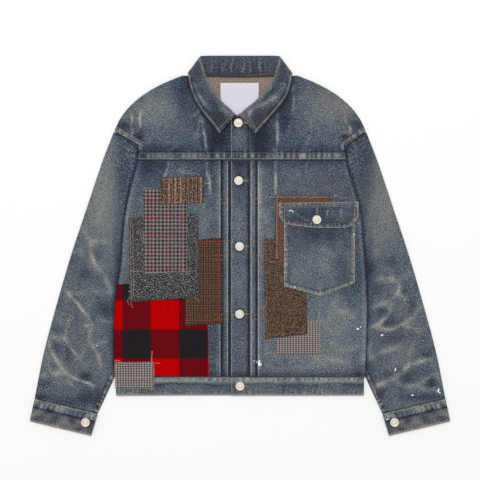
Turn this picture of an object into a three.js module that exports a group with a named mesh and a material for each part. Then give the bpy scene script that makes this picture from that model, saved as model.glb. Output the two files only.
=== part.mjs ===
// A patched denim work jacket laid flat on its back, buttoned, with its sleeves
// slanting down beside the body. Millimetres. +X is the wearer's left, +Y runs
// towards the collar, +Z is up, and z = 0 is the surface that it lies on.
// Each cloth piece is a thin closed wall: a grid of middle points, thickened both ways.
import * as THREE from "three";

// Driving dimensions
const DENIM = 1.0; // one layer of cloth
const DOUBLE = 2.0; // collar, cuffs and waistband are cut double
const GAP = 0.6; // free space between pieces that touch
const STEP = DENIM + 0.3; // height of one more folded layer
const HALF_SPAN = 441; // cuff corner to the middle line
const YOKE_SEAM = 179;
const WAIST_SEAM = -276;
const HEM = -313.5;
const NECK_TOP = 271; // top of the front edge, under the collar
const SHOULDER_END = 356; // where the yokes stop, beside the collar
const BUTTON_RADIUS = 9;
const HEM_HALF = 260;

// Heights of the middle of the cloth
const FLOOR_LAYER = DENIM / 2;
const STAND_Z = 2.0; // button stand of the right front
const PLACKET_Z = 3.65; // buttonhole edge of the left front
const CHEST_Z = 4.7;
const SIDE_TOP_Z = 7.1; // fronts where they fold over the sleeves
const SIDE_UNDER_Z = 4.9;
const NECK_RISE = 1.1; // the front edges climb over the label and the neck seam

// Sides: -1 is the wearer's right, 1 is the wearer's left
const SIDES = [
  { name: "right", sign: -1, edge: -21, base: STAND_Z, pleats: [24, 40] },
  { name: "left", sign: 1, edge: -19.5, base: PLACKET_Z, pleats: [21, 36.5] },
];

// Folded side edge of the body, half width against Y, for the two sides
const SIDE_FOLD = {
  right: [[212, 211], [214, 179], [223.5, 141], [236.5, 87], [244, 35], [249.5, -38],
    [260, -114], [264, -208], [261.5, -276]],
  left: [[218, 211], [222, 179], [237.5, 123], [251, 75], [257, 21], [261.5, -38],
    [266, -114], [265.5, -194], [262, -276]],
};
const ARMHOLE = [[212, 211], [194, 165], [187, 110], [200, 68], [223, 40], [222, 15]];
const SHOULDER = [[263.5, 241.5], [250, 268], [230, 293], [199.5, 318], [153, 343], [115.5, 358]];
const SLEEVE_OUTER = [[265, 238], [287.5, 179.5], [321.5, 79], [355, -22], [384.5, -123],
  [411.5, -224], [431, -320.5]];
const SLEEVE_INNER = [[228, 36], [225.5, 0], [227, -80], [233, -160], [243, -220],
  [260, -268], [298.8, -352.3]];
const CUFF = { top: [[431.2, -321.3], [298.9, -353]], bottom: [[HALF_SPAN, -367.5], [312.5, -398]] };

const v3 = (x, y, z) => new THREE.Vector3(x, y, z);
const mix = (a, b, t) => a + (b - a) * t;
const ramp = (t) => THREE.MathUtils.smoothstep(t, 0, 1);

// Value of a curve through [value, y] points at a given y, with straight stretches
function at(points, y) {
  const down = points[0][1] > points[points.length - 1][1];
  const list = down ? points : [...points].reverse();
  for (let k = 0; k < list.length - 1; k++) {
    const [v0, y0] = list[k];
    const [v1, y1] = list[k + 1];
    if (y <= y0 && y >= y1) return mix(v0, v1, (y0 - y) / (y0 - y1));
  }
  return y > list[0][1] ? list[0][0] : list[list.length - 1][0];
}

// The same curve, rounded through its points
function smoothAt(points, y) {
  const list = points[0][1] > points[points.length - 1][1] ? points : [...points].reverse();
  const n = list.length;
  if (y >= list[0][1]) return list[0][0];
  if (y <= list[n - 1][1]) return list[n - 1][0];
  const k = list.findIndex((p, i) => i < n - 1 && y <= p[1] && y >= list[i + 1][1]);
  const slope = (i) => {
    const a = list[Math.max(0, i - 1)];
    const b = list[Math.min(n - 1, i + 1)];
    return (b[0] - a[0]) / (b[1] - a[1]);
  };
  const [v0, y0] = list[k];
  const [v1, y1] = list[k + 1];
  const h = y1 - y0;
  const t = (y - y0) / h;
  return (2 * t ** 3 - 3 * t ** 2 + 1) * v0 + (t ** 3 - 2 * t ** 2 + t) * h * slope(k)
    + (3 * t ** 2 - 2 * t ** 3) * v1 + (t ** 3 - t ** 2) * h * slope(k + 1);
}

// A closed wall from rows of middle points. A ring joins its last column to its first.
function wall(rows, thickness, ring = false) {
  const nv = rows.length;
  const nu = rows[0].length;
  const half = typeof thickness === "function" ? (i, j) => thickness(i, j) / 2 : () => thickness / 2;
  const pick = (i, j) => {
    const col = ring ? (i + nu) % nu : Math.min(nu - 1, Math.max(0, i));
    return rows[Math.min(nv - 1, Math.max(0, j))][col];
  };
  const position = [];
  for (const face of [1, -1]) {
    for (let j = 0; j < nv; j++) {
      for (let i = 0; i < nu; i++) {
        const along = pick(i + 1, j).clone().sub(pick(i - 1, j)).normalize();
        const up = pick(i, j + 1).clone().sub(pick(i, j - 1)).normalize();
        const normal = along.cross(up).normalize();
        const p = rows[j][i].clone().addScaledVector(normal, face * half(i, j));
        position.push(p.x, p.y, p.z);
      }
    }
  }
  const id = (face, i, j) => face * nu * nv + j * nu + (ring ? i % nu : i);
  const index = [];
  const quad = (a, b, c, d) => index.push(a, b, c, a, c, d);
  const spans = ring ? nu : nu - 1;
  for (let j = 0; j < nv - 1; j++) {
    for (let i = 0; i < spans; i++) {
      quad(id(0, i, j), id(0, i + 1, j), id(0, i + 1, j + 1), id(0, i, j + 1));
      quad(id(1, i, j), id(1, i, j + 1), id(1, i + 1, j + 1), id(1, i + 1, j));
    }
  }
  for (let i = 0; i < spans; i++) {
    quad(id(0, i + 1, 0), id(0, i, 0), id(1, i, 0), id(1, i + 1, 0));
    quad(id(0, i, nv - 1), id(0, i + 1, nv - 1), id(1, i + 1, nv - 1), id(1, i, nv - 1));
  }
  if (!ring) {
    for (let j = 0; j < nv - 1; j++) {
      quad(id(0, 0, j), id(0, 0, j + 1), id(1, 0, j + 1), id(1, 0, j));
      quad(id(0, nu - 1, j + 1), id(0, nu - 1, j), id(1, nu - 1, j), id(1, nu - 1, j + 1));
    }
  }
  return facingOut(position, index);
}

// Turns the faces round if the closed surface encloses a negative volume
function facingOut(position, index) {
  let volume = 0;
  const corner = (k) => v3(...position.slice(3 * index[k], 3 * index[k] + 3));
  for (let k = 0; k < index.length; k += 3) {
    volume += corner(k).dot(corner(k + 1).cross(corner(k + 2)));
  }
  if (volume < 0) {
    for (let k = 0; k < index.length; k += 3) {
      [index[k + 1], index[k + 2]] = [index[k + 2], index[k + 1]];
    }
  }
  const geometry = new THREE.BufferGeometry();
  geometry.setAttribute("position", new THREE.Float32BufferAttribute(position, 3));
  geometry.setIndex(index);
  geometry.computeVertexNormals();
  return geometry;
}

// A rounded turn in a section: points on a half circle that starts below or above (x, z)
function turn(x, z, radius, outward, stretch = 1, steps = 4) {
  const points = [];
  for (let k = 0; k <= steps; k++) {
    const a = Math.PI * (k / steps - 0.5);
    points.push([x + outward * radius * stretch * (Math.cos(a) - 1), z + radius * Math.sin(a)]);
  }
  return points;
}

const jacket = new THREE.Group();
const finish = (color, roughness, metalness = 0) =>
  new THREE.MeshStandardMaterial({ color, roughness, metalness, side: THREE.DoubleSide });
const MATERIAL = {
  denim: finish(0x4d5b6b, 0.9),
  wool_red: finish(0xa00d14, 0.95),
  wool_grey: finish(0x45474b, 0.95),
  wool_brown: finish(0x4a3628, 0.95),
  wool_check: finish(0x8d8587, 0.95),
  button: finish(0xe6dccb, 0.35, 0.2),
  label: finish(0xdcd9e2, 0.8),
};
function add(name, geometry, material) {
  const mesh = new THREE.Mesh(geometry, MATERIAL[material]);
  mesh.name = name;
  jacket.add(mesh);
}

// ---- Back: one panel from hem to neck, flat where it rests, lifted over the collar
function neckLift(x, y) {
  return 2.9 * ramp((y - 300) / 40) * (1 - ramp((Math.abs(x) - 130) / 60));
}
const backHeight = (x, y) => FLOOR_LAYER + neckLift(x, y);
function sideSeam(y) {
  return smoothAt(SLEEVE_INNER, y) - 12.3;
}
const SEAM_TURN = 12; // from the shoulder fold back to the shoulder seam
function shoulderStretch(y) {
  const slope = (smoothAt(SHOULDER, y - 2) - smoothAt(SHOULDER, y + 2)) / 4;
  return Math.hypot(1, slope);
}
const BACK_ARMHOLE = [[245, 241.5], [222, 226], [207, 214], [202, 200], [193, 165], [185, 110],
  [188, 88], [198, 66], [216, 42], [215.5, 20]];
function backEdge(y) {
  if (y < 20) return sideSeam(y);
  if (y <= 241.5) return at(BACK_ARMHOLE, y);
  return smoothAt(SHOULDER, y) - (SEAM_TURN + 2) * shoulderStretch(y) * 0.9;
}
const SIDE_ROWS = [-235, -180, -110, -28, 20];
const BACK_ROWS = [WAIST_SEAM, ...SIDE_ROWS, 42, 66, 88, 110, 165, 200, 214, 226, 241.5, 254, 268,
  293, 306, 320, 336, 352];
const BACK_ACROSS = [-1, -0.7, -0.4, 0, 0.4, 0.7, 1];
{
  const rows = BACK_ROWS.map((y) => {
    const edge = backEdge(y);
    return BACK_ACROSS.map((s) => v3(s * edge, y, backHeight(s * edge, y)));
  });
  const neckHalf = 86;
  const top = BACK_ACROSS.map((s) =>
    v3(s * neckHalf, 357 - 1.5 * Math.cos((s * Math.PI) / 2), backHeight(0, 357)));
  add("back", wall([...rows, top], DENIM), "denim");
}

// ---- Fronts: two knife pleats each, then the chest, then a fold over the sleeve
function pleatSection({ edge, base, pleats }) {
  const deep = 5.5; // how far each pleat tucks under
  const round = STEP / 2;
  const points = [[edge, base], [0, base], [pleats[0] - 4, base]];
  let level = base;
  for (const fold of pleats) {
    points.push(...turn(fold + deep, level + round, round, 1, 1, 2));
    points.push(...turn(fold, level + STEP + round, round, -1, 1, 2));
    if (fold === pleats[0]) {
      points.push([fold + 3, level + 2 * STEP], [fold + 10, base + 0.5], [pleats[1] + 2, base + 0.5]);
      level = base + 0.5;
    }
  }
  points.push([pleats[1] + 4, level + 2 * STEP]);
  return points;
}
const ARMPIT = 18; // above it the front lies over the sleeve, below it the front meets the back
function flangeEnd(y) {
  return y > ARMPIT ? smoothAt(ARMHOLE, y) + 1 : sideSeam(y) + 1.2;
}
function chestSection(side, y) {
  const fold = smoothAt(SIDE_FOLD[side.name], y);
  const end = flangeEnd(y);
  return [[60, CHEST_Z], [100, CHEST_Z - 0.1], [Math.min(150, end - 42), CHEST_Z - 0.1],
    [end - 14, 5.1], [end + 2, 6.4], [mix(end, fold, 0.62), 6.9]];
}
function sideFold(side, y) {
  const fold = smoothAt(SIDE_FOLD[side.name], y);
  const round = (SIDE_TOP_Z - SIDE_UNDER_Z) / 2;
  const middle = (SIDE_TOP_Z + SIDE_UNDER_Z) / 2;
  return turn(fold - DENIM / 2, middle, round, 1).reverse();
}
function flange(y) {
  const end = flangeEnd(y);
  if (y > ARMPIT) return [[end + 8, SIDE_UNDER_Z], [end + 4, SIDE_UNDER_Z], [end, SIDE_UNDER_Z]];
  return [[end + 8, SIDE_UNDER_Z], [end + 3.5, 2.8], [end, FLOOR_LAYER]];
}
const FRONT_ROWS = [YOKE_SEAM - 1.2, 146, 110, 74, 46, ...SIDE_ROWS.toReversed(), WAIST_SEAM + 0.6];
for (const side of SIDES) {
  const pleated = pleatSection(side);
  const rows = FRONT_ROWS.map((y) =>
    [...pleated, ...chestSection(side, y), ...sideFold(side, y), ...flange(y)].map(([x, z]) =>
      v3(side.sign * x, y, z)));
  const placketEnd = side.sign > 0 ? 3 : 0;
  add(`front_${side.name}`, wall(rows, (i) => (i < placketEnd ? 1.6 : DENIM)), "denim");
}
// Height of a front's middle at a point of the chest
function frontHeight(x, y) {
  const side = SIDES[x < 0 ? 0 : 1];
  const section = [...pleatSection(side).slice(-2), ...chestSection(side, y),
    [smoothAt(SIDE_FOLD[side.name], y) - 1.6, SIDE_TOP_Z]];
  const d = Math.abs(x);
  if (y < WAIST_SEAM) return at([[5.9, 246], [5.3, 150], [5.3, 0]], d);
  for (let k = 0; k < section.length - 1; k++) {
    const [x0, z0] = section[k];
    const [x1, z1] = section[k + 1];
    if (d >= x0 && d <= x1) return mix(z0, z1, (d - x0) / (x1 - x0));
  }
  return d < section[0][0] ? section[0][1] : SIDE_TOP_Z;
}

// ---- Yokes: from the yoke seam over the shoulder, folded round it to the back
const NECKLINE = [[-20, NECK_TOP - 1], [12, NECK_TOP], [27, 284], [48, 296], [76, 322],
  [89, 340], [93, 350], [110, SHOULDER_END]];
const YOKE_ROWS = [YOKE_SEAM + 0.6, 211, 226, 241.5, 254, NECK_TOP - 1, NECK_TOP, 284, 296,
  309, 322, 336, 350, SHOULDER_END];
function yokeInner(side, y) {
  return y <= NECK_TOP - 1 ? side.edge : at(NECKLINE, y);
}
function yokeOuter(side, y) {
  if (y <= 211) return smoothAt(SIDE_FOLD[side.name], y);
  if (y <= 241.5) return mix(SIDE_FOLD[side.name][0][0], 263.5, (y - 211) / 30.5);
  return smoothAt(SHOULDER, y);
}
function yokeSection(side, y) {
  const inner = yokeInner(side, y);
  const outer = yokeOuter(side, y);
  const rise = ramp((y - 300) / 40);
  const overSleeve = y <= 241.5;
  const top = overSleeve ? SIDE_TOP_Z : mix(3.9, 5.1, rise);
  const under = overSleeve ? SIDE_UNDER_Z : mix(FLOOR_LAYER, 3.4, rise);
  const chest = mix(mix(4.9, 4.3, ramp((y - 200) / 50)), 5.1, rise);
  const stretch = y > 241.5 ? shoulderStretch(y) : 1;
  const turnedIn = y <= 211 ? outer - smoothAt(ARMHOLE, y) - 1.5 : SEAM_TURN * stretch * 0.9;
  const end = Math.max(outer - Math.max(turnedIn, 8), inner + 1);
  const start = Math.max(inner + 1, overSleeve ? end - 14 : outer - 30);
  const stand = side.base + NECK_RISE * ramp((y - 238) / 30);
  const level = (d) => mix(stand, chest, THREE.MathUtils.clamp((d - 22) / 12, 0, 1));
  const flat = Math.max(22, inner + 1);
  const risen = Math.max(34, inner + 2);
  const beside = Math.max(start, risen + 2);
  const across = [inner, flat, ...[0, 0.25, 0.5, 0.75, 1].map((s) => mix(risen, beside, s))];
  const points = across.map((x) => [x, level(x)]);
  const round = (top - under) / 2;
  const arc = turn(outer - DENIM / 2, (top + under) / 2, round, 1, stretch).reverse();
  points.push([mix(start, arc[0][0], 0.6), mix(level(start), top, 0.75)]);
  points.push(...arc);
  const last = arc[arc.length - 1][0];
  points.push([mix(last, end, 0.5), under], [end, under]);
  return points;
}
for (const side of SIDES) {
  const rows = YOKE_ROWS.map((y) => yokeSection(side, y).map(([x, z]) => v3(side.sign * x, y, z)));
  add(`yoke_${side.name}`, wall(rows, DENIM), "denim");
}

// ---- Waistband: one doubled strip round the hem, its left end over its right end
{
  const round = 2.2;
  const middle = 1 + round;
  const bandUnder = [[23, 3.4], [-19, 3.4], [-60, 3.5], [-150, 4.8], [-HEM_HALF + 14, 5.4]];
  const leftTurn = turn(HEM_HALF - 1, middle, round, 1, 1, 6).reverse().map(([x, z]) => [-x, z]);
  const backLayer = [-130, 0, 130].map((x) => [x, 1]);
  const rightTurn = turn(HEM_HALF - 1, middle, round, 1, 1, 6);
  const bandOver = [[HEM_HALF - 14, 5.4], [150, 5.2], [40, 5.8], [20, 5.8], [-19.5, 5.8]];
  const path = [...bandUnder, ...leftTurn, ...backLayer, ...rightTurn, ...bandOver];
  const rows = [WAIST_SEAM - 0.8, HEM].map((y) => path.map(([x, z]) => v3(x, y, z)));
  add("waistband", wall(rows, DOUBLE), "denim");
}

// ---- Sleeves: flattened tubes from the armhole to the cuff
const alongCurve = (points) => new THREE.CatmullRomCurve3(points.map(([x, y]) => v3(x, y, 0)),
  false, "centripetal");
const OUTER = alongCurve(SLEEVE_OUTER);
const INNER = alongCurve(SLEEVE_INNER);
const HEAD = alongCurve([[265, 238], [238, 230.5], [211, 216], [196, 165], [188.5, 110], [202, 68.5],
  [228, 36]]);
const CAP_SHARE = 0.1; // the curve of the armhole has died out this far down the sleeve
function sleevePlan(u, v) {
  const o = OUTER.getPointAt(v);
  const i = INNER.getPointAt(v);
  const head = HEAD.getPointAt(u);
  const chord = OUTER.getPointAt(0).lerp(INNER.getPointAt(0), u);
  const curve = Math.max(0, 1 - v / CAP_SHARE);
  return o.lerp(i, u).addScaledVector(head.sub(chord), curve ** 2);
}
function sleeveRing(side, v) {
  const width = OUTER.getPointAt(v).distanceTo(INNER.getPointAt(v));
  const crown = mix(mix(0.3, 1.3, ramp(v / 0.35)), 0.9, ramp((v - 0.8) / 0.2));
  const round = 1.3;
  const half = DENIM / 2;
  const section = [];
  const arc = turn(0, FLOOR_LAYER + round, round, 1);
  for (const [d, z] of arc) section.push([(half - d) / width, z]);
  for (const u of [0.15, 0.35, 0.6, 0.85]) {
    const swell = crown * Math.sin(Math.PI * Math.min(1, u / 0.72));
    section.push([u, FLOOR_LAYER + 2 * round + swell]);
  }
  for (const [d, z] of arc.reverse()) section.push([1 - (half - d) / width, z]);
  for (const u of [0.67, 0.33]) section.push([u, FLOOR_LAYER]);
  return section.map(([u, z]) => {
    const p = sleevePlan(u, v);
    return v3(side.sign * p.x, p.y, z);
  });
}
const SLEEVE_STATIONS = [0, 0.035, 0.07, CAP_SHARE, 0.22, 0.36, 0.52, 0.68, 0.84, 1];
for (const side of SIDES) {
  const rows = SLEEVE_STATIONS.map((v) => sleeveRing(side, v));
  add(`sleeve_${side.name}`, wall(rows, DENIM, true), "denim");
}

// ---- Cuffs: doubled bands that wrap the wrist, with a button tab tucked inside
for (const side of SIDES) {
  const rows = [0.02, 1].map((s) => {
    const outer = [mix(CUFF.top[0][0], CUFF.bottom[0][0], s), mix(CUFF.top[0][1], CUFF.bottom[0][1], s)];
    const inner = [mix(CUFF.top[1][0], CUFF.bottom[1][0], s), mix(CUFF.top[1][1], CUFF.bottom[1][1], s)];
    const width = Math.hypot(outer[0] - inner[0], outer[1] - inner[1]);
    const round = 2.25;
    const tabRound = 1.25;
    const path = [[1, 5.75], [0.8, 5.75], [0.5, 5.7], [0.2, 5.6]];
    path.push(...turn(-1, 1 + round, round, 1, 1, 6).reverse().map(([d, z]) => [-d / width, z]));
    path.push([0.5, 1]);
    path.push(...turn(-1, 1 + tabRound, tabRound, 1).map(([d, z]) => [1 + d / width, z]));
    path.push([0.8, 3.5]);
    return path.map(([u, z]) =>
      v3(side.sign * mix(outer[0], inner[0], u), mix(outer[1], inner[1], u), z));
  });
  add(`cuff_${side.name}`, wall(rows, DOUBLE), "denim");
}

// ---- Collar: one doubled band that stands up from the neck and rolls over to its points
// Each station: neck seam, roll and outer edge as [x, y, z], and the way the fall lies in degrees
const COLLAR_HALF = [
  { neck: [92, 339, 6.9], roll: [71, 354, 8.6], edge: [104.5, 334, 9.4], way: 90 },
  { neck: [96, 350, 6.9], roll: [76, 371, 8.6], edge: [107.5, 351, 9.2], way: 84 },
  { neck: [99, 358, 6.6], roll: [81, 388, 7.6], edge: [108.5, 359, 7.6], way: 50 },
  { neck: [98, 361, 6.0], roll: [83.5, 394, 6.0], edge: [108.5, 362, 4.8], way: 0 },
  { neck: [94, 360, 5.6], roll: [82, 397, 4.4], edge: [105, 360, 2.4], way: -50 },
  { neck: [85, 356, 5.3], roll: [77, 398, 3.0], edge: [98, 352, 1.15], way: -86 },
  { neck: [60, 354, 5.3], roll: [55, 398.5, 2.6], edge: [64, 350, 1.1], way: -90 },
  { neck: [30, 353, 5.3], roll: [28, 398.5, 2.5], edge: [32, 349, 1.1], way: -90 },
];
const COLLAR_FRONT = {
  right: [
    { neck: [12, 268.5, 6.8], roll: [9.2, 274.9, 7.8], edge: [42.8, 234.7, 8.6], way: 90 },
    { neck: [27, 281, 6.5], roll: [21, 287, 7.7], edge: [57, 254.5, 8.7], way: 90 },
    { neck: [53, 299, 6.2], roll: [42, 306.5, 7.8], edge: [78, 280, 8.9], way: 90 },
    { neck: [80, 323, 6.5], roll: [61, 332, 8.2], edge: [95, 308, 9.2], way: 90 },
  ],
  left: [
    { neck: [-3, 268.5, 6.8], roll: [-2.9, 274.5, 7.8], edge: [32.5, 234.7, 8.6], way: 90 },
    { neck: [18, 281, 6.5], roll: [12, 287, 7.7], edge: [49.9, 255, 8.7], way: 90 },
    { neck: [47, 299, 6.2], roll: [36, 306.5, 7.8], edge: [72, 280, 8.9], way: 90 },
    { neck: [79, 323, 6.5], roll: [61, 332, 8.2], edge: [95, 310, 9.2], way: 90 },
  ],
};
const COLLAR_BACK = { neck: [0, 353, 5.3], roll: [0, 398.5, 2.5], edge: [0, 349, 1.1], way: -90 };
{
  const mirrored = ({ neck, roll, edge, way }, sign) => ({
    neck: v3(sign * neck[0], neck[1], neck[2]),
    roll: v3(sign * roll[0], roll[1], roll[2]),
    edge: v3(sign * edge[0], edge[1], edge[2]),
    out: v3(sign * Math.cos(way * Math.PI / 180), 0, Math.sin(way * Math.PI / 180)),
  });
  const half = (side) => [...COLLAR_FRONT[side.name], ...COLLAR_HALF].map((s) => mirrored(s, side.sign));
  const stations = [...half(SIDES[0]), mirrored(COLLAR_BACK, 1), ...half(SIDES[1]).reverse()];
  const round = 1.25;
  const rows = stations.map(({ neck, roll, edge, out }) => {
    const up = roll.clone().sub(neck).normalize();
    const centre = roll.clone().addScaledVector(up, -round - DOUBLE / 2);
    const points = [neck.clone(), neck.clone().lerp(centre.clone().addScaledVector(out, -round), 0.5)];
    for (const a of [-90, -45, 0, 45, 90]) {
      const r = (a * Math.PI) / 180;
      points.push(centre.clone().addScaledVector(out, round * Math.sin(r))
        .addScaledVector(up, round * Math.cos(r)));
    }
    const fall = points[points.length - 1];
    points.push(fall.clone().lerp(edge, 0.33), fall.clone().lerp(edge, 0.67), edge.clone());
    return points;
  });
  add("collar", wall(rows, DOUBLE), "denim");
}

// ---- Pieces sewn on the fronts, from the lowest to the highest.
// Corners run top left, top right, bottom right, bottom left.
const CLOTH = 1.0; // woollen patches
const PATCHES = [
  { name: "patch_red_plaid", look: "wool_red", wraps: true,
    corners: [[-250, -81], [-70, -80], [-65.5, -274], [-258, -274]] },
  { name: "patch_glen_check", look: "wool_brown",
    corners: [[-114, 10], [-38, 16], [-37.5, -163], [-114, -168.5]] },
  { name: "patch_charcoal", look: "wool_grey",
    corners: [[-233, 57], [-88.5, 66.5], [-86.5, -108], [-231, -117]] },
  { name: "patch_grey_check", look: "wool_check",
    corners: [[-202.5, 118], [-111.5, 122], [-111.5, -54.5], [-202, -59]] },
  { name: "patch_brown_stripe", look: "wool_brown",
    corners: [[-165.5, 141.5], [-76.5, 144.5], [-77.5, 90], [-166.5, 86]] },
  { name: "patch_hem_check", look: "wool_check",
    corners: [[-262, -246], [-181, -245.5], [-181.5, -300], [-261, -299.5]] },
  { name: "patch_chest_check", look: "wool_check",
    corners: [[76.5, -158], [168.5, -158.5], [166.5, -227], [77.5, -228.5]] },
  { name: "patch_dark_brown", look: "wool_brown",
    corners: [[50.5, 15], [139.5, 15], [140.5, -185.5], [53, -196]] },
  { name: "patch_rust", look: "wool_brown",
    corners: [[74.5, 104], [193.5, 104], [193.5, -31], [73.5, -31]] },
];
const POCKET_TOP = 82;
const POCKET_SIDES = [92, 241];
const POCKET_FOOT = [[-85.5, 92], [-96, 131], [-106, 169.5], [-92.5, 205], [-79, 241]];
const FLAP_TOP = [[89.5, 81.5], [92, 248]];
const FLAP_FOOT = [[64, 81.5], [50, 89], [44, 101], [38.5, 148], [37, 217], [44, 237], [60, 248]];

// Share of a lower piece's height at (x, y): full until 8 mm past its edge, then sloping down
function coverage(corners, x, y) {
  let out = -Infinity;
  for (let k = 0; k < 4; k++) {
    const [x0, y0] = corners[k];
    const [x1, y1] = corners[(k + 1) % 4];
    const length = Math.hypot(x1 - x0, y1 - y0);
    out = Math.max(out, ((x - x0) * (y0 - y1) + (y - y0) * (x1 - x0)) / length);
  }
  return THREE.MathUtils.clamp((17 - out) / 9, 0, 1);
}
function stackTop(lower, x, y) {
  let top = 0;
  for (const piece of lower) {
    top = Math.max(top, coverage(piece.corners, x, y) * (piece.rest(x, y) + piece.thick + GAP));
  }
  return top;
}
// Positions along one side of a piece: even steps, and the places where lower edges pass under
function stations(from, to, pitch, edges) {
  const count = Math.max(1, Math.round(Math.abs(to - from) / pitch));
  const even = Array.from({ length: count + 1 }, (_, k) => mix(from, to, k / count));
  const low = Math.min(from, to) + 2;
  const high = Math.max(from, to) - 2;
  const added = edges.filter((e) => e > low && e < high);
  const kept = even.filter((e, k) => k === 0 || k === count || added.every((a) => Math.abs(a - e) > 4));
  return [...kept, ...added].sort((a, b) => (a - b) * Math.sign(to - from));
}
const spread = (list, axis) => {
  const values = list.map((c) => c[axis]);
  return [Math.min(...values), Math.max(...values)];
};
function lowerEdges(lower, axis) {
  return lower.flatMap((piece) => {
    const [a, b] = spread(piece.corners, axis);
    return [a - 17, a - 2, b + 2, b + 17];
  });
}
const FOLD_REACH = (SIDE_TOP_Z - SIDE_UNDER_Z + DENIM) / 2; // from the fold's edge to its axis
const FOLD_Z = (SIDE_TOP_Z + SIDE_UNDER_Z) / 2;
const sewn = [];
function sewOn(name, corners, thick, material, lower, wraps) {
  const pitch = 24;
  const piece = { name, corners, thick };
  piece.rest = (x, y) => stackTop(lower, x, y);
  piece.middle = (x, y) => frontHeight(x, y) + DENIM / 2 + GAP + piece.rest(x, y) + thick / 2;
  const [tl, tr, br, bl] = corners;
  const across = stations((tl[0] + bl[0]) / 2, (tr[0] + br[0]) / 2, pitch, lowerEdges(lower, 0));
  const down = wraps ? [tl[1], ...FRONT_ROWS.filter((y) => y < tl[1] && y > bl[1]), bl[1]]
    : stations((tl[1] + tr[1]) / 2, (bl[1] + br[1]) / 2, 2 * pitch, lowerEdges(lower, 1));
  const share = (list, value) => (value - list[0]) / (list[list.length - 1] - list[0]);
  const rows = down.map((yy) => {
    const v = share(down, yy);
    const fold = smoothAt(SIDE_FOLD.right, mix(tl[1], bl[1], v));
    const left = wraps ? -(fold - FOLD_REACH) : mix(tl[0], bl[0], v);
    const row = across.map((xx) => {
      const u = share(across, xx);
      const x = mix(left, mix(tr[0], br[0], v), u);
      const y = mix(mix(tl[1], tr[1], u), mix(bl[1], br[1], u), v);
      return v3(x, y, piece.middle(x, y));
    });
    if (!wraps) return row;
    const radius = row[0].z - FOLD_Z;
    const round = [90, 45].map((a) => (a * Math.PI) / 180).map((a) =>
      v3(left - radius * Math.sin(a), row[0].y, FOLD_Z + radius * Math.cos(a)));
    return [...round, ...row];
  });
  add(name, wall(rows, thick), material);
  sewn.push(piece);
  return piece;
}
for (const { name, look, corners, wraps } of PATCHES) {
  const [x0, x1] = spread(corners, 0);
  const [y0, y1] = spread(corners, 1);
  const lower = sewn.filter((piece) => {
    const [a0, a1] = spread(piece.corners, 0);
    const [b0, b1] = spread(piece.corners, 1);
    return a0 - 17 < x1 && a1 + 17 > x0 && b0 - 17 < y1 && b1 + 17 > y0;
  });
  sewOn(name, corners, CLOTH, look, lower, wraps);
}

// ---- Chest pocket with a pointed foot, and its flap
function shaped(name, xs, top, foot, thick, lower, vs) {
  const piece = { name, thick };
  piece.corners = [[xs[0], top(xs[0])], [xs[xs.length - 1], top(xs[xs.length - 1])],
    [xs[xs.length - 1], foot(xs[xs.length - 1])], [xs[0], foot(xs[0])]];
  piece.rest = (x, y) => stackTop(lower, x, y);
  piece.middle = (x, y) => frontHeight(x, y) + DENIM / 2 + GAP + piece.rest(x, y) + thick / 2;
  const rows = vs.map((v) => xs.map((x) => {
    const y = mix(top(x), foot(x), v);
    return v3(x, y, piece.middle(x, y));
  }));
  add(name, wall(rows, thick), "denim");
  return piece;
}
const overlay = sewn.filter((piece) => piece.name === "patch_rust" || piece.name === "patch_dark_brown");
const [POCKET_IN, POCKET_OUT] = POCKET_SIDES;
const POCKET_XS = [POCKET_IN, 104, 120, 137, 143.5, 152.5, 169.5, 183, 196.5, 203, 210.5, 225, POCKET_OUT];
const pocket = shaped("pocket", POCKET_XS, () => POCKET_TOP, (x) => at(POCKET_FOOT, x), DENIM,
  overlay, [0, 0.2, 0.4, 0.6, 0.66, 0.85, 1]);
pocket.corners = [[POCKET_IN, POCKET_TOP], [POCKET_OUT, POCKET_TOP], [242, -106], [92, -106]];
const FLAP_XS = [81.5, 84.5, 89, 95, 101, 112, 125, 148, 172, 196.5, 203, 210.5, 217, 229, 237, 244, 248];
const flap = shaped("pocket_flap", FLAP_XS, (x) => at(FLAP_TOP, x), (x) => at(FLAP_FOOT, x), DENIM,
  [...overlay, pocket], [0, 0.2, 0.45, 0.7, 1]);

// ---- Blank neck label on the inside of the back
const LABEL_LIFT = 1.25;
{
  const ys = [274, 290, 302, 311, 320, 329, 341];
  const rows = ys.map((y) => [-41, -20, 0, 20, 39.5].map((x) => v3(x, y, backHeight(x, y) + LABEL_LIFT)));
  add("label", wall(rows, DENIM), "label");
}

// ---- Shank buttons: a rimmed cap on a short neck
const BUTTON_PROFILE = [[0, 0], [3.2, 0], [3.2, 0.9], [8.4, 0.9], [BUTTON_RADIUS, 1.5], [8.8, 2.3],
  [7.8, 2.8], [6.4, 2.4], [4, 2.6], [0, 2.8]];
function button(name, x, y, z) {
  const around = 20;
  const position = [0, 0, 0, 0, 0, BUTTON_PROFILE[BUTTON_PROFILE.length - 1][1]];
  const rings = BUTTON_PROFILE.slice(1, -1);
  for (const [r, h] of rings) {
    for (let k = 0; k < around; k++) {
      const a = (2 * Math.PI * k) / around;
      position.push(r * Math.cos(a), r * Math.sin(a), h);
    }
  }
  const index = [];
  const id = (j, k) => 2 + j * around + (k % around);
  for (let k = 0; k < around; k++) {
    index.push(0, id(0, k + 1), id(0, k));
    index.push(1, id(rings.length - 1, k), id(rings.length - 1, k + 1));
    for (let j = 0; j < rings.length - 1; j++) {
      index.push(id(j, k), id(j, k + 1), id(j + 1, k + 1), id(j, k), id(j + 1, k + 1), id(j + 1, k));
    }
  }
  const geometry = facingOut(position, index);
  geometry.translate(x, y, z);
  add(name, geometry, "button");
}
const RISE = 0.3; // from the cloth to the foot of a button
const placketTop = PLACKET_Z + 0.8 + RISE;
button("button_neck", -3.6, 257, PLACKET_Z + NECK_RISE + 0.5 + RISE);
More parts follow.
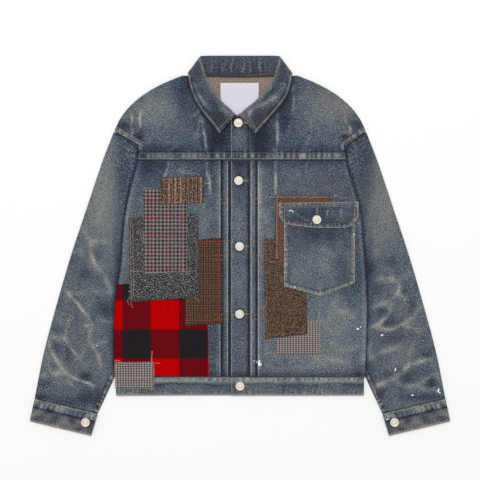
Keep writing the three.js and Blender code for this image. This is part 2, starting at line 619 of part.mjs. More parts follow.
const PLACKET_BUTTONS = [["button_chest", -3, 136], ["button_middle", -1, -2], ["button_lower", -1, -144]];
for (const [name, x, y] of PLACKET_BUTTONS) {
  button(name, x, y, placketTop);
}
button("button_waist", 0, -295, 5.8 + 1 + RISE);
button("button_pocket", 161, 54, flap.middle(161, 54) + 0.5 + RISE);
for (const side of SIDES) {
  button(`button_cuff_${side.name}`, side.sign * 324, -371, 5.8 + 1 + RISE);
}

export default jacket;
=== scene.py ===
import math

import bmesh
import bpy
import numpy as np
from mathutils import Matrix, Vector
from mathutils.bvhtree import BVHTree


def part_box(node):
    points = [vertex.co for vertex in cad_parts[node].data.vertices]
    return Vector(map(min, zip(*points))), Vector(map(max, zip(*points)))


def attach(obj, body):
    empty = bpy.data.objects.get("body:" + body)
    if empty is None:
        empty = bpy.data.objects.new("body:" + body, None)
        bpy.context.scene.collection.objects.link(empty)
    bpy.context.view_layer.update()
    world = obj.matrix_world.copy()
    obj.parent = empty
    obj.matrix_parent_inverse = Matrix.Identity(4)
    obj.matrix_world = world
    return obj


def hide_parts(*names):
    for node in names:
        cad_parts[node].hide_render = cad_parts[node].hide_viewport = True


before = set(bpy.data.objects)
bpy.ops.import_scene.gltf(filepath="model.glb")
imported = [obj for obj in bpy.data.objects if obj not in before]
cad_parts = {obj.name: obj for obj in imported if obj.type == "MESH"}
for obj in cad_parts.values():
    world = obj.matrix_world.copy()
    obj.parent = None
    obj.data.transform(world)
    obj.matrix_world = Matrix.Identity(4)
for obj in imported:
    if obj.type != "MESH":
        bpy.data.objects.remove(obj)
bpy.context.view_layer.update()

# ---- Back
# One panel of 13 oz denim from the waist seam to the neck, lying flat on the table. Near the neck it climbs
# over the collar, whose fall is turned under it. Its inner face, unwashed and tan, shows in the neck.
MM = 0.001
DENIM = 1.0
BACK_TONE = 0.46
WAIST_SEAM = -276
NECK_BASE = 352
SIDE_CURVE = [[228, 36], [225.5, 0], [227, -80], [233, -160], [243, -220], [260, -268], [298.8, -352.3]]
SHOULDER_CURVE = [[263.5, 241.5], [250, 268], [230, 293], [199.5, 318], [153, 343], [115.5, 358]]
BACK_ARMHOLE = [[245, 241.5], [222, 226], [207, 214], [202, 200], [193, 165], [185, 110], [188, 88],
                [198, 66], [216, 42], [215.5, 20]]


def rounded(points):
    """A smooth curve through [value, y] points, as a function of y."""
    table = np.array(sorted(points, key=lambda p: p[1]), float)
    value, level = table[:, 0], table[:, 1]
    slope = np.gradient(value, level)

    def at(y):
        y = np.clip(y, level[0], level[-1])
        k = np.clip(np.searchsorted(level, y) - 1, 0, len(level) - 2)
        h = level[k + 1] - level[k]
        t = (y - level[k]) / h
        return ((2 * t**3 - 3 * t**2 + 1) * value[k] + (t**3 - 2 * t**2 + t) * h * slope[k]
                + (3 * t**2 - 2 * t**3) * value[k + 1] + (t**3 - t**2) * h * slope[k + 1])
    return at


def straight(points, y):
    """The value at y between [value, y] points joined by straight lines."""
    table = np.array(sorted(points, key=lambda p: p[1]), float)
    return np.interp(y, table[:, 1], table[:, 0])


def ease(t):
    """A smooth step from 0 to 1."""
    t = np.clip(t, 0, 1)
    return t * t * (3 - 2 * t)


def bell(away, reach):
    """1 where away is 0, fading smoothly over the reach."""
    return np.exp(-((away / reach) ** 2))


def plateau(away, reach):
    """A bell with a flat top and steep sides."""
    return np.exp(-((away / reach) ** 4))


def run_along(line):
    """The distance walked at each point of a line, from its start."""
    return np.append(0, np.cumsum(np.linalg.norm(np.diff(line, axis=0), axis=1)))


def near(x, y, path):
    """How far each point of the cloth is from a path, and how far along the path its foot lies."""
    best = np.full(np.shape(x), 1e9)
    along = np.zeros(np.shape(x))
    walked = 0.0
    for (x0, y0), (x1, y1) in zip(path, path[1:]):
        length = math.hypot(x1 - x0, y1 - y0) or 1e-6
        t = np.clip(((x - x0) * (x1 - x0) + (y - y0) * (y1 - y0)) / length**2, 0, 1)
        d = np.hypot(x - x0 - t * (x1 - x0), y - y0 - t * (y1 - y0))
        closer = d < best
        best = np.where(closer, d, best)
        along = np.where(closer, walked + t * length, along)
        walked += length
    return best, along, walked


def placed(name, mesh):
    """An object of the scene that shows a mesh."""
    piece = bpy.data.objects.new(name, mesh)
    bpy.context.collection.objects.link(piece)
    return piece


def cloth(name, points, flat, thickness, wear_and_shade, warm, ring=False, rim=0.0, finish=None):
    """A grid laid through rows of points in millimetres and thickened both ways. flat is the same grid in
    the cloth's own plane, and the next two say how pale it is, from worn places and painted shade, and
    how tan it is at each point. Where no finish is given, it is washed denim."""
    rows, cols = points.shape[:2]
    made = bmesh.new()
    bmesh.ops.create_grid(made, x_segments=cols - 1, y_segments=rows - 1, size=0.5)
    made.verts.ensure_lookup_table()
    place = np.array([v.co for v in made.verts])
    i = np.rint((place[:, 0] + 0.5) * (cols - 1)).astype(int)
    j = np.rint((place[:, 1] + 0.5) * (rows - 1)).astype(int)
    mesh = bpy.data.meshes.new(name)
    made.to_mesh(mesh)
    made.free()
    mesh.vertices.foreach_set("co", (points[j, i] * MM).ravel())
    corner = np.zeros(len(mesh.loops), int)
    mesh.loops.foreach_get("vertex_index", corner)
    layer = mesh.uv_layers.new(name="UVMap")
    layer.data.foreach_set("uv", (flat[j, i] * MM)[corner].ravel())
    for label, values in (("wear_and_shade", wear_and_shade), ("warm", warm)):
        data = mesh.attributes.new(label, "FLOAT", "POINT").data
        data.foreach_set("value", np.clip(values, 0, 1)[j, i].ravel())
    if ring:
        made = bmesh.new()
        made.from_mesh(mesh)
        bmesh.ops.remove_doubles(made, verts=made.verts, dist=1e-6)
        made.to_mesh(mesh)
        made.free()
    mesh.shade_smooth()
    mesh.materials.append(finish or WASHED_DENIM)
    piece = placed(name, mesh)
    wall = piece.modifiers.new("thickness", "SOLIDIFY")
    wall.thickness = thickness * MM
    wall.offset = 0
    wall.use_even_offset = False
    if rim:
        edge = piece.modifiers.new("turned edge", "BEVEL")
        edge.width = rim * MM
        edge.segments = 2
        edge.limit_method = "ANGLE"
        edge.angle_limit = math.radians(60)
    return piece


def declare(piece, node):
    """Ties a cloth piece to the body and hides the part it stands for."""
    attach(piece, "root")
    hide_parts(node)
    mesh = piece.data
    flat = np.zeros(len(mesh.loops) * 2)
    mesh.uv_layers["UVMap"].data.foreach_get("uv", flat)
    flat = flat.reshape(-1, 2)


class Finish:
    """A material being mixed: a call adds nodes for one thing and gives back their output."""

    def __init__(self, name, own_plane=True):
        self.material = bpy.data.materials.new(name)
        self.material.use_nodes = True
        self.tree = self.material.node_tree
        self.shader = self.tree.nodes["Principled BSDF"]
        self.cloth = (self.add("ShaderNodeUVMap").outputs[0] if own_plane
                      else self.add("ShaderNodeTexCoord").outputs["Object"])

    def add(self, kind, **settings):
        node = self.tree.nodes.new(kind)
        for key, value in settings.items():
            setattr(node, key, value)
        return node

    def feed(self, socket, value):
        if isinstance(value, bpy.types.NodeSocket):
            self.tree.links.new(value, socket)
        else:
            socket.default_value = value

    def math(self, operation, *values):
        node = self.add("ShaderNodeMath", operation=operation)
        for socket, value in zip(node.inputs, values):
            self.feed(socket, value)
        return node.outputs[0]

    def plus(self, first, second):
        return self.math("ADD", first, second)

    def minus(self, first, second):
        return self.math("SUBTRACT", first, second)

    def times(self, first, second):
        return self.math("MULTIPLY", first, second)

    def beat(self, value, share=0.5):
        """1 in the first share of every unit, 0 in the rest of it."""
        return self.math("LESS_THAN", self.math("FRACT", value), share)

    def attribute(self, name):
        return self.add("ShaderNodeAttribute", attribute_name=name).outputs["Fac"]

    def stretched(self, scale, turn=0.0):
        node = self.add("ShaderNodeMapping")
        self.feed(node.inputs["Vector"], self.cloth)
        node.inputs["Scale"].default_value = (*scale, 1)
        node.inputs["Rotation"].default_value = (0, 0, turn)
        return node.outputs[0]

    def noise(self, scale, detail=2.0, rough=0.5, turn=0.0):
        """Noise whose grains are so many per metre across and along the cloth."""
        node = self.add("ShaderNodeTexNoise", noise_dimensions="2D")
        self.feed(node.inputs["Vector"], self.stretched(scale, turn))
        node.inputs["Scale"].default_value = 1
        node.inputs["Detail"].default_value = detail
        node.inputs["Roughness"].default_value = rough
        return node.outputs["Fac"]

    def plane(self):
        node = self.add("ShaderNodeSeparateXYZ")
        self.feed(node.inputs[0], self.cloth)
        return node.outputs[0], node.outputs[1]

    def ramp(self, value, stops):
        node = self.add("ShaderNodeValToRGB")
        self.feed(node.inputs[0], value)
        line = node.color_ramp.elements
        while len(line) < len(stops):
            line.new(0.5)
        for element, (place, colour) in zip(line, stops):
            element.position = place
            element.color = paint(colour)
        return node.outputs["Color"]

    def mix(self, share, first, second, way="MIX"):
        node = self.add("ShaderNodeMix", data_type="RGBA", blend_type=way)
        self.feed(node.inputs["Factor"], share)
        for name, value in (("A", first), ("B", second)):
            socket = next(s for s in node.inputs if s.name == name and s.type == "RGBA")
            self.feed(socket, paint(value) if isinstance(value, str) else value)
        return next(s for s in node.outputs if s.type == "RGBA")

    def done(self, colour, rough, height=None, depth=0.0003, sheen=0.0, gloss=0.06):
        self.feed(self.shader.inputs["Base Color"], colour)
        self.feed(self.shader.inputs["Roughness"], rough)
        self.shader.inputs["Specular IOR Level"].default_value = gloss
        self.shader.inputs["Sheen Weight"].default_value = sheen
        self.shader.inputs["Sheen Roughness"].default_value = 0.6
        if height is not None:
            bump = self.add("ShaderNodeBump")
            bump.inputs["Distance"].default_value = depth
            self.feed(bump.inputs["Height"], height)
            self.feed(self.shader.inputs["Normal"], bump.outputs[0])
        return self.material


def paint(code):
    """A colour written as six hex digits, in the linear light that the shader takes."""
    parts = [int(code[k:k + 2], 16) / 255 for k in (0, 2, 4)]
    return (*[c / 12.92 if c <= 0.04045 else ((c + 0.055) / 1.055) ** 2.4 for c in parts], 1)


def denim_finish(weft_side=False):
    """Indigo warp over a tan weft: twill lines, slubby warp yarns, a washed grain, paleness from worn places
    and from painted shade, and the weft showing where it is worn.
    """
    f = Finish("inside of the denim" if weft_side else "washed denim")
    x, y = f.plane()
    slub = f.noise((1000, 70), 2)
    grain = f.noise((500, 270), 2, 0.8)
    speck = f.noise((820, 560), 1, 0.6)
    cloud = f.noise((60, 40), 3, 0.55)
    bias = f.plus(f.times(x, 0.6), y)
    wale_pitch = 1.15 * MM
    wale = f.math("PINGPONG", f.plus(f.times(bias, 1 / wale_pitch), f.times(grain, 1.6)), 1)
    level = f.attribute("wear_and_shade")
    for share, part in ((0.34, slub), (1.15, grain), (0.95, speck), (0.22, cloud), (0.16, wale)):
        level = f.plus(level, f.times(f.minus(part, 0.5), share))
    indigo = f.ramp(level, ((0.08, "131b2a"), (0.22, "1f2b42"), (0.35, "364658"), (0.48, "505f6b"),
                            (0.62, "6a757a"), (0.76, "8b8b85"), (0.95, "b6b0a4")))
    warm = 1.0 if weft_side else f.attribute("warm")
    spread = f.plus(f.times(f.minus(speck, 0.5), 2.6), 0.5)
    weft = f.mix(spread, "4a413b", "b5a08d")
    colour = f.mix(f.times(warm, f.plus(f.times(grain, 1.1), 0.25)), indigo, weft)
    height = f.plus(f.times(wale, 0.7), f.plus(slub, f.times(grain, 0.7)))
    return f.done(colour, 0.9, height, 0.00035, 0.04)


WASHED_DENIM = denim_finish()
WEFT_SIDE = denim_finish(weft_side=True)


def back_edge(y):
    """Half the width of the back panel at a level."""
    y = np.asarray(y, float)
    side = rounded(SIDE_CURVE)(y) - 12.3
    seam = rounded(SHOULDER_CURVE)
    slope = (seam(y - 2) - seam(y + 2)) / 4
    shoulder = seam(y) - 12.6 * np.hypot(1, slope)
    return np.where(y < 20, side, np.where(y <= 241.5, straight(BACK_ARMHOLE, y), shoulder))


def back_height(x, y):
    lift = 2.9 * ease((y - 300) / 40) * (1 - ease((np.abs(x) - 130) / 60))
    return DENIM / 2 + lift


def creased(x, y, creases):
    """Paleness and height that a list of creases adds at each point, with painted shade on the flanks of each
    crease.
    """
    pale = np.zeros(np.shape(x))
    rise = np.zeros(np.shape(x))
    for path, width, light, height in creases:
        d, along, length = near(x, y, path)
        taper = np.clip(np.minimum(along, length - along) / (0.3 * length), 0, 1) if len(path) > 1 else 1
        uneven = 0.80 + 0.32 * np.sin(along / 6.3 + 2 * np.sin(along / 15)) * np.clip(length / 60, 0, 1)
        soft = min(1, max(0, (width - 2.6) / 1.4))
        ridge = (0.72 - 0.14 * soft) * bell(d / width, 1 + 0.1 * soft)
        shape = (ridge + (0.34 + 0.08 * soft) * bell(d / width, 1.9 + 0.4 * soft)) * uneven
        trough = bell(d, 3.2 * width) * taper
        pale += light * shape * (0.35 + 0.65 * taper) - 0.26 * light * trough
        rise += height * shape
    return pale, rise


def spots(x, y, level, zones):
    """Broad worn and dark zones: centre, reach both ways, and how much paler or darker."""
    total = np.full(np.shape(x), float(level))
    for cx, cy, rx, ry, amount in zones:
        total += amount * np.exp(-(((x - cx) / rx) ** 2) - ((y - cy) / ry) ** 2)
    return total


BACK_CREASES = [
    ([(-120, 262), (-90, 236), (-84, 190), (-96, 150)], 6, 0.16, 1.2),
    ([(112, 250), (96, 210), (104, 160), (90, 120)], 6, 0.16, 1.2),
    ([(-160, 60), (-90, 40), (-20, 52), (60, 30), (150, 58)], 7, 0.14, 1.0),
    ([(-190, -40), (-120, -66), (-60, -60)], 6, 0.16, 1.0),
    ([(190, -60), (130, -90), (70, -84)], 6, 0.16, 1.0),
    ([(-150, -150), (-60, -170), (40, -160), (120, -178)], 7, 0.14, 1.0),
    ([(-40, 120), (-36, 60), (-44, -20)], 5, 0.12, 0.8),
]
BACK_ZONES = [(-130, 230, 60, 60, 0.12), (130, 236, 60, 60, 0.12), (0, 60, 120, 80, 0.06),
              (0, -262, 300, 14, 0.10), (-180, -150, 60, 90, -0.06), (180, -150, 60, 90, -0.06),
              (0, 250, 50, 40, -0.06)]


def build_back():
    y = np.append(np.linspace(WAIST_SEAM, NECK_BASE, 84), [NECK_BASE + 2.5, NECK_BASE + 5])
    share = np.linspace(-1, 1, 67)
    half = np.where(y <= NECK_BASE, back_edge(y), 0)
    half[-2:] = [back_edge(NECK_BASE) * 0.5 + 43, 86]
    x = share[None, :] * half[:, None]
    rows = np.repeat(y[:, None], len(share), axis=1)
    rows[-1] -= 1.5 * np.cos(share * math.pi / 2)
    points = np.stack([x, rows, back_height(x, rows)], axis=2)
    wear_and_shade = spots(x, rows, BACK_TONE, BACK_ZONES) + creased(x, rows, BACK_CREASES)[0]
    piece = cloth("back_panel", points, points[:, :, :2], DENIM, wear_and_shade, 0 * x, finish=WEFT_SIDE)
    piece.data.materials.append(WASHED_DENIM)
    piece.modifiers["thickness"].material_offset = 1
    piece.modifiers["thickness"].material_offset_rim = 1
    declare(piece, "back")
    return piece


back = build_back()

# ---- Sleeves
# Each is one tube of denim from the armhole to the cuff, pressed flat. Long wear at the elbow has left
# pale curved whiskers across it, and its inner edge is tucked beneath the side of the body.
SLEEVE_TONE = 0.455
SLEEVE_OUTER = [[265, 238], [287.5, 179.5], [321.5, 79], [355, -22], [384.5, -123], [411.5, -224],
                [431, -320.5]]
SLEEVE_HEAD = [[265, 238], [238, 230.5], [211, 216], [196, 165], [188.5, 110], [202, 68.5], [228, 36]]
CAP_SHARE = 0.1
SIDE_FOLD = {
    "right": [[212, 211], [214, 179], [223.5, 141], [236.5, 87], [244, 35], [249.5, -38], [260, -114],
              [264, -208], [261.5, -276]],
    "left": [[218, 211], [222, 179], [237.5, 123], [251, 75], [257, 21], [261.5, -38], [266, -114],
             [265.5, -194], [262, -276]],
}
ARMHOLE_SEAM = {"right": [(-264, 241), (-211, 211)], "left": [(264, 240), (219, 208)]}


def smooth_path(points, count):
    """Evenly spaced points on a smooth curve through the given ones."""
    p = np.array(points, float)
    step = np.append(0, np.cumsum(np.sqrt(np.hypot(*np.diff(p, axis=0).T))))
    fine = np.linspace(0, step[-1], 600)
    axes = [rounded(np.stack([p[:, k], step], axis=1))(fine) for k in range(p.shape[1])]
    q = np.stack(axes, axis=1)
    run = run_along(q)
    even = np.linspace(0, run[-1], count)
    return np.stack([np.interp(even, run, q[:, k]) for k in range(p.shape[1])], axis=1)


# Creases on a sleeve: path across it in millimetres, half width, how pale it has worn, how high it stands
SLEEVE_CREASES = {
    "right": [
        ([(-331, 36), (-321, 21), (-310, 8)], 4.5, 0.20, 0.9),
        ([(-310, 8), (-297, 9), (-274, 6)], 3.5, 0.22, 0.8),
        ([(-310, 8), (-315, -9), (-307, -33), (-298, -47)], 3.8, 0.34, 1.2),
        ([(-298, -47), (-286, -61), (-274, -89), (-270, -98)], 5.0, 0.20, 1.0),
        ([(-270, -98), (-288, -99), (-305, -98)], 3.2, 0.24, 0.8),
        ([(-329, -10), (-347, -16)], 5, 0.18, 0.6),
        ([(-365, -97), (-340, -101), (-324, -99)], 3.5, 0.24, 0.9),
        ([(-362, -99), (-345, -117), (-333, -132), (-322, -146)], 2.8, 0.42, 1.2),
        ([(-322, -146), (-312, -160), (-309, -166)], 4, 0.18, 0.8),
        ([(-326, -170), (-309, -166), (-314, -180), (-317, -202)], 3.6, 0.30, 1.0),
        ([(-296, -156), (-264, -160)], 4.5, 0.22, 0.7),
        ([(-357, -150), (-363, -174), (-368, -194)], 3.2, 0.24, 0.8),
        ([(-388, -152), (-374, -164), (-364, -170)], 5, 0.14, 0.6),
        ([(-395, -190), (-380, -197), (-368, -194)], 4, 0.28, 0.9),
        ([(-368, -194), (-359, -209), (-351, -220), (-341, -232)], 2.8, 0.36, 1.0),
        ([(-402, -200), (-398, -214), (-392, -228), (-383, -244), (-373, -258)], 3.6, 0.34, 1.2),
        ([(-373, -258), (-359, -272), (-349, -279)], 5.0, 0.26, 1.0),
        ([(-352, -277), (-333, -284), (-318, -289), (-307, -295)], 2.4, 0.55, 1.3),
        ([(-419, -272), (-401, -270), (-381, -268), (-365, -270)], 4.5, 0.26, 0.8),
        ([(-360, -286), (-349, -296)], 3.5, 0.22, 0.6),
        ([(-325, -217), (-331, -234), (-340, -240)], 3.5, 0.20, 0.6),
        ([(-312, -205), (-297, -230), (-292, -254)], 3.8, 0.30, 1.0),
        ([(-280, -200), (-296, -206), (-306, -214)], 3.4, 0.18, 0.6),
        ([(-404, -250), (-396, -262), (-384, -268)], 4, 0.16, 0.5),
        ([(-285, 84), (-293, 60), (-300, 44)], 6, 0.10, 0.5),
    ],
    "left": [
        ([(287, -70), (300, -71), (315, -70)], 4.2, 0.28, 0.9),
        ([(315, -70), (331, -76), (335, -85), (331, -101)], 3.0, 0.42, 1.2),
        ([(331, -76), (344, -65), (356, -59)], 4.8, 0.20, 0.8),
        ([(294, -41), (306, -53)], 1.8, 0.20, 0.3),
        ([(331, -99), (322, -109), (312, -118), (300, -122), (280, -130)], 4.2, 0.24, 0.9),
        ([(332, -101), (348, -112)], 3.8, 0.30, 0.8),
        ([(300, -122), (314, -127), (328, -120)], 4.5, 0.14, 0.6),
        ([(316, -127), (315, -138), (307, -150), (293, -164), (270, -173)], 3.6, 0.34, 1.1),
        ([(380, -129), (370, -142), (358, -154), (348, -162)], 4.2, 0.26, 0.9),
        ([(348, -162), (332, -171), (316, -176), (300, -176), (287, -173)], 3.2, 0.38, 1.2),
        ([(346, -170), (362, -173), (376, -179)], 3.6, 0.30, 0.9),
        ([(266, -178), (273, -200), (269, -222), (271, -234)], 5.0, 0.26, 0.8),
        ([(270, -238), (289, -228), (302, -222), (322, -216), (338, -212)], 4.0, 0.24, 0.8),
        ([(342, -262), (354, -250), (370, -246), (390, -240), (409, -236)], 3.8, 0.26, 1.0),
        ([(357, -222), (354, -238), (354, -250)], 4.4, 0.24, 0.8),
        ([(354, -250), (344, -264), (330, -274)], 4.0, 0.32, 1.2),
        ([(330, -274), (312, -284), (296, -291), (278, -299)], 4.6, 0.34, 1.2),
        ([(326, -286), (342, -294), (360, -296), (372, -292), (382, -287)], 4.0, 0.26, 1.0),
        ([(382, -287), (394, -278), (407, -268)], 3.4, 0.26, 0.8),
        ([(376, -299), (394, -302), (412, -303)], 3.6, 0.26, 0.7),
        ([(408, -244), (412, -266), (420, -287)], 3.6, 0.16, 0.6),
        ([(366, -196), (360, -212), (357, -224)], 5.0, 0.12, 0.6),
        ([(330, -240), (322, -250), (312, -262)], 5.0, 0.10, 0.6),
        ([(288, 20), (282, -6), (286, -30)], 5.0, 0.10, 0.5),
    ],
}

# Broad zones of a sleeve, from worn grey shoulders to painted shade in the hollows between the creases and
# beside the body's edge
SLEEVE_WEAR_AND_SHADE = {
    "right": [(-286, 120, 40, 120, 0.14), (-246, 160, 18, 80, -0.20), (-325, -60, 16, 14, -0.18),
              (-300, -18, 10, 12, -0.12), (-284, -134, 18, 20, -0.22), (-352, -30, 16, 16, -0.10),
              (-360, -234, 7, 20, -0.18), (-325, -274, 12, 8, -0.32), (-318, -312, 22, 14, -0.18),
              (-414, -292, 14, 10, -0.16), (-420, -318, 20, 8, -0.26), (-368, -180, 6, 12, -0.10),
              (-386, -176, 8, 10, -0.14), (-385, -212, 7, 10, -0.12), (-258, -60, 9, 120, -0.12),
              (-345, -160, 14, 22, -0.06), (-340, -210, 12, 12, -0.06), (-404, -232, 10, 26, 0.08),
              (-366, -284, 22, 8, 0.06), (-345, -326, 60, 13, -0.20), (-290, -318, 12, 18, -0.22),
              (-262, -262, 8, 16, -0.2), (-300, -80, 14, 14, -0.06)],
    "left": [(300, 90, 40, 110, 0.12), (262, 170, 20, 90, -0.22), (272, -48, 13, 30, -0.26),
             (316, -34, 16, 10, -0.14), (345, -98, 7, 7, -0.20), (286, -94, 14, 10, -0.16),
             (297, -138, 13, 9, -0.20), (318, -160, 18, 9, -0.20), (362, -124, 9, 14, -0.18),
             (330, -194, 30, 14, -0.16), (392, -228, 12, 12, -0.20), (347, -277, 22, 15, -0.20),
             (402, -289, 16, 9, -0.24), (380, -318, 46, 7, -0.24), (292, -312, 9, 12, -0.26),
             (372, -90, 10, 14, -0.10), (316, -20, 40, 50, -0.04), (310, -268, 20, 10, -0.10),
             (385, -200, 12, 20, -0.06),
             (384, -262, 20, 10, -0.10), (274, -270, 12, 22, -0.16), (330, -232, 16, 8, 0.04)],
}


def seam_rope(along, away, reach=7.0, pitch=2.0):
    """The puckers that a shrunken seam leaves: small ridges across it that fade with distance."""
    ripple = np.sin(along / pitch + 2.2 * np.sin(along / 13) + 1.3 * np.sin(along / 5.9))
    ripple = ripple * (0.65 + 0.35 * np.sin(along / 17 + 2 * np.sin(along / 41)))
    return (ripple + 0.25 * np.sin(along / 9.1)) * bell(away, reach)


def build_sleeve(side, sign):
    rows, top, low, bend = 200, 46, 14, 6
    v = np.append(np.linspace(0, CAP_SHARE, 24)[:-1], np.linspace(CAP_SHARE, 1, rows - 23))
    outer_line = smooth_path(SLEEVE_OUTER, 1001)
    inner_line = smooth_path(SIDE_CURVE, 1001)
    head_line = smooth_path(SLEEVE_HEAD, 1001)
    steps = np.linspace(0, 1, 1001)
    pick = lambda line, t: np.stack([np.interp(t, steps, line[:, k]) for k in (0, 1)], axis=-1)
    outer, inner = pick(outer_line, v), pick(inner_line, v)
    width = np.hypot(*(outer - inner).T)
    run = run_along((outer + inner) / 2)
    reach = 1.3
    angle = np.linspace(-90, 90, bend + 1) * math.pi / 180
    middle = np.linspace(0, 1, top + 2)[1:-1]
    points, flat = [], []
    for k in range(len(v)):
        w = width[k]
        d0 = (DENIM / 2 + reach * (1 - np.cos(angle))) / w
        swell = 0.3 + 1.0 * ease(v[k] / 0.35) - 0.4 * ease((v[k] - 0.8) / 0.2)
        u_top = d0[-1] + (1 - 2 * d0[-1]) * middle
        z_top = DENIM / 2 + 2 * reach + swell * np.sin(math.pi * np.minimum(1, u_top / 0.72))
        u_low = (1 - d0[0]) + (2 * d0[0] - 1) * np.linspace(0, 1, low + 1)[1:]
        u = np.concatenate([d0, u_top, 1 - d0[::-1], u_low])
        z = np.concatenate([DENIM / 2 + reach + reach * np.sin(angle), z_top,
                            (DENIM / 2 + reach + reach * np.sin(angle))[::-1], np.full(low, DENIM / 2)])
        chord = outer[0] + (inner[0] - outer[0]) * u[:, None]
        cap = (pick(head_line, u) - chord) * max(0, 1 - v[k] / CAP_SHARE) ** 2
        plan = outer[k] + (inner[k] - outer[k]) * u[:, None] + cap
        points.append(np.stack([sign * plan[:, 0], plan[:, 1], z], axis=1))
        girth = run_along(np.stack([u * w, z], axis=1))
        flat.append(np.stack([sign * girth, np.full(len(u), -run[k])], axis=1))
    points, flat = np.array(points), np.array(flat)
    x, y, z = points[:, :, 0], points[:, :, 1], points[:, :, 2]
    above = ease((z - 2.4) / 0.8) * np.sin(math.pi * np.clip((np.abs(x) - 240) / 60, 0, 0.5))
    pale, rise = creased(x, y, SLEEVE_CREASES[side])
    wave = 0.35 * np.sin(x / 23 + y / 31) + 0.25 * np.sin(x / 13 - y / 47 + 1)
    points[:, :, 2] += above * (rise + wave + 0.35)
    beside = np.abs(x) - rounded(SIDE_FOLD[side])(y)
    seam_away = near(x, y, ARMHOLE_SEAM[side])[0]
    # Painted shadow on the sleeve beside the body's edge, where it is tucked under, and below the armhole
    # seam.
    tucked = 0.34 * bell(beside, 4.5) + 0.08 * bell(beside, 15) * ease((y + 280) / 60)
    wear_and_shade = spots(x, y, SLEEVE_TONE, SLEEVE_WEAR_AND_SHADE[side]) + 1.2 * pale * (0.4 + 0.6 * above)
    wear_and_shade -= tucked * (y < 212) * (y > -280)
    wear_and_shade = wear_and_shade - 0.30 * bell(seam_away, 3.5) - 0.12 * bell(seam_away, 12)
    hem_away, hem_along, _ = near(np.abs(x), y, [(254, -256), (262, -273), (298.8, -352.3)])
    felled = plateau(hem_away - 5, 4) * ease((-262 - y) / 14)
    wear_and_shade += felled * (0.02 + 0.50 * seam_rope(hem_along, 0 * x)) * (1.0 if side == "right" else 0.6)
    wear_and_shade -= 0.20 * bell(hem_away - 11, 2) * ease((-262 - y) / 14)
    tanned = [(sign * 300, 100, 36, 110, 0.24), (sign * 345, -190, 50, 120, 0.12)]
    warm = spots(x, y, 0.06, tanned) + 0.45 * pale
    piece = cloth(f"{side}_sleeve", points, flat, DENIM, wear_and_shade, warm, ring=True)
    declare(piece, f"sleeve_{side}")
    return piece


SIDES = {"right": -1, "left": 1}
sleeves = {side: build_sleeve(side, sign) for side, sign in SIDES.items()}

# ---- Cuffs
# Doubled bands of denim round the wrist, buttoned, with the button tab tucked inside the flattened band.
# The seam allowance inside makes a pale roped ridge below the top edge.
DOUBLED = 2.0
CUFF_TONE = 0.41
CUFF_BUTTON = (324, -371)
CUFF_TOP = [[431.2, -321.3], [298.9, -353]]
CUFF_BOTTOM = [[441, -367.5], [312.5, -398]]


def fill(section, steps):
    """More points along a section, with a fixed number of steps in each stretch."""
    out = [np.array(section[0], float)]
    for (start, end), count in zip(zip(section, section[1:]), steps):
        for k in range(1, count + 1):
            out.append(np.array(start, float) + (np.array(end, float) - np.array(start, float)) * k / count)
    return np.array(out)


def turn(x, z, radius, outward, steps=8, stretch=1.0):
    """A half circle of cloth round a fold, from below to above."""
    angle = np.linspace(-90, 90, steps + 1) * math.pi / 180
    return [(x + outward * radius * stretch * (math.cos(a) - 1), z + radius * math.sin(a)) for a in angle]


def build_cuff(side, sign):
    points, flat = [], []
    for share in np.linspace(0.004, 1, 17):
        outer = np.array(CUFF_TOP[0]) + (np.array(CUFF_BOTTOM[0]) - np.array(CUFF_TOP[0])) * share
        inner = np.array(CUFF_TOP[1]) + (np.array(CUFF_BOTTOM[1]) - np.array(CUFF_TOP[1])) * share
        width = math.hypot(*(outer - inner))
        section = [(1, 5.75), (0.5, 5.7), (0.06, 5.6)]
        section += [(-d / width, z) for d, z in turn(-1, 3.25, 2.25, 1)[::-1]]
        section += [(0.5, 1)]
        section += [(1 + d / width, z) for d, z in turn(-1, 2.25, 1.25, 1)]
        section += [(0.8, 3.5)]
        row = fill(section, [24, 21, 3] + [1] * 8 + [14, 14] + [1] * 8 + [6])
        plan = outer + (inner - outer) * row[:, :1]
        run = run_along(row * [width, 1])
        points.append(np.stack([sign * plan[:, 0], plan[:, 1], row[:, 1]], axis=1))
        flat.append(np.stack([run, np.full(len(run), -47 * share)], axis=1))
    points, flat = np.array(points), np.array(flat)
    u, v = flat[:, :, 0], -flat[:, :, 1]
    above = ease((points[:, :, 2] - 5.2) / 0.4)
    rope = np.sin(u / 1.6 + 1.3 * np.sin(u / 7)) * bell(v - 42, 4)
    ridge = bell(v - 17, 2.2)
    points[:, :, 2] += above * (0.35 * rope + 0.5 * ridge + 0.3 * np.sin(u / 17) * np.sin(v / 9))
    ticks = 1.7 * seam_rope(u, v - 12, 7, 1.7)
    mottle = 0.07 * np.sin(u / 9 + 1.5 * np.sin(u / 23 + v / 7)) + 0.05 * np.sin(u / 5 - v / 6)
    button = np.hypot(np.abs(points[:, :, 0]) - CUFF_BUTTON[0], points[:, :, 1] - CUFF_BUTTON[1])
    # A ring of painted shadow round the button.
    wear_and_shade = CUFF_TONE + mottle * 1.3 - 0.22 * bell(button - 8, 4) * above
    wear_and_shade += 0.14 * plateau(v - 9, 7) + 0.12 * ticks + 0.07 * rope
    # Painted shadow just below the raised ridge of the seam allowance.
    wear_and_shade = wear_and_shade - 0.34 * bell(v - 18.5, 2.2) - 0.10 * bell(v - 24, 5)
    wear_and_shade += 0.30 * bell(v - 47, 1.6) - 0.16 * bell(v - 43, 2)
    wear_and_shade = wear_and_shade - 0.22 * bell(u - 8, 7) * (v > 18) + 0.16 * bell(v, 1.4)
    warm = 0.5 * bell(v - 47, 2.5) + (0.28 + 1.4 * mottle) * (v > 20)
    piece = cloth(f"{side}_cuff", points, flat, DOUBLED, wear_and_shade, warm, rim=0.6)
    declare(piece, f"cuff_{side}")
    return piece


cuffs = {side: build_cuff(side, sign) for side, sign in SIDES.items()}

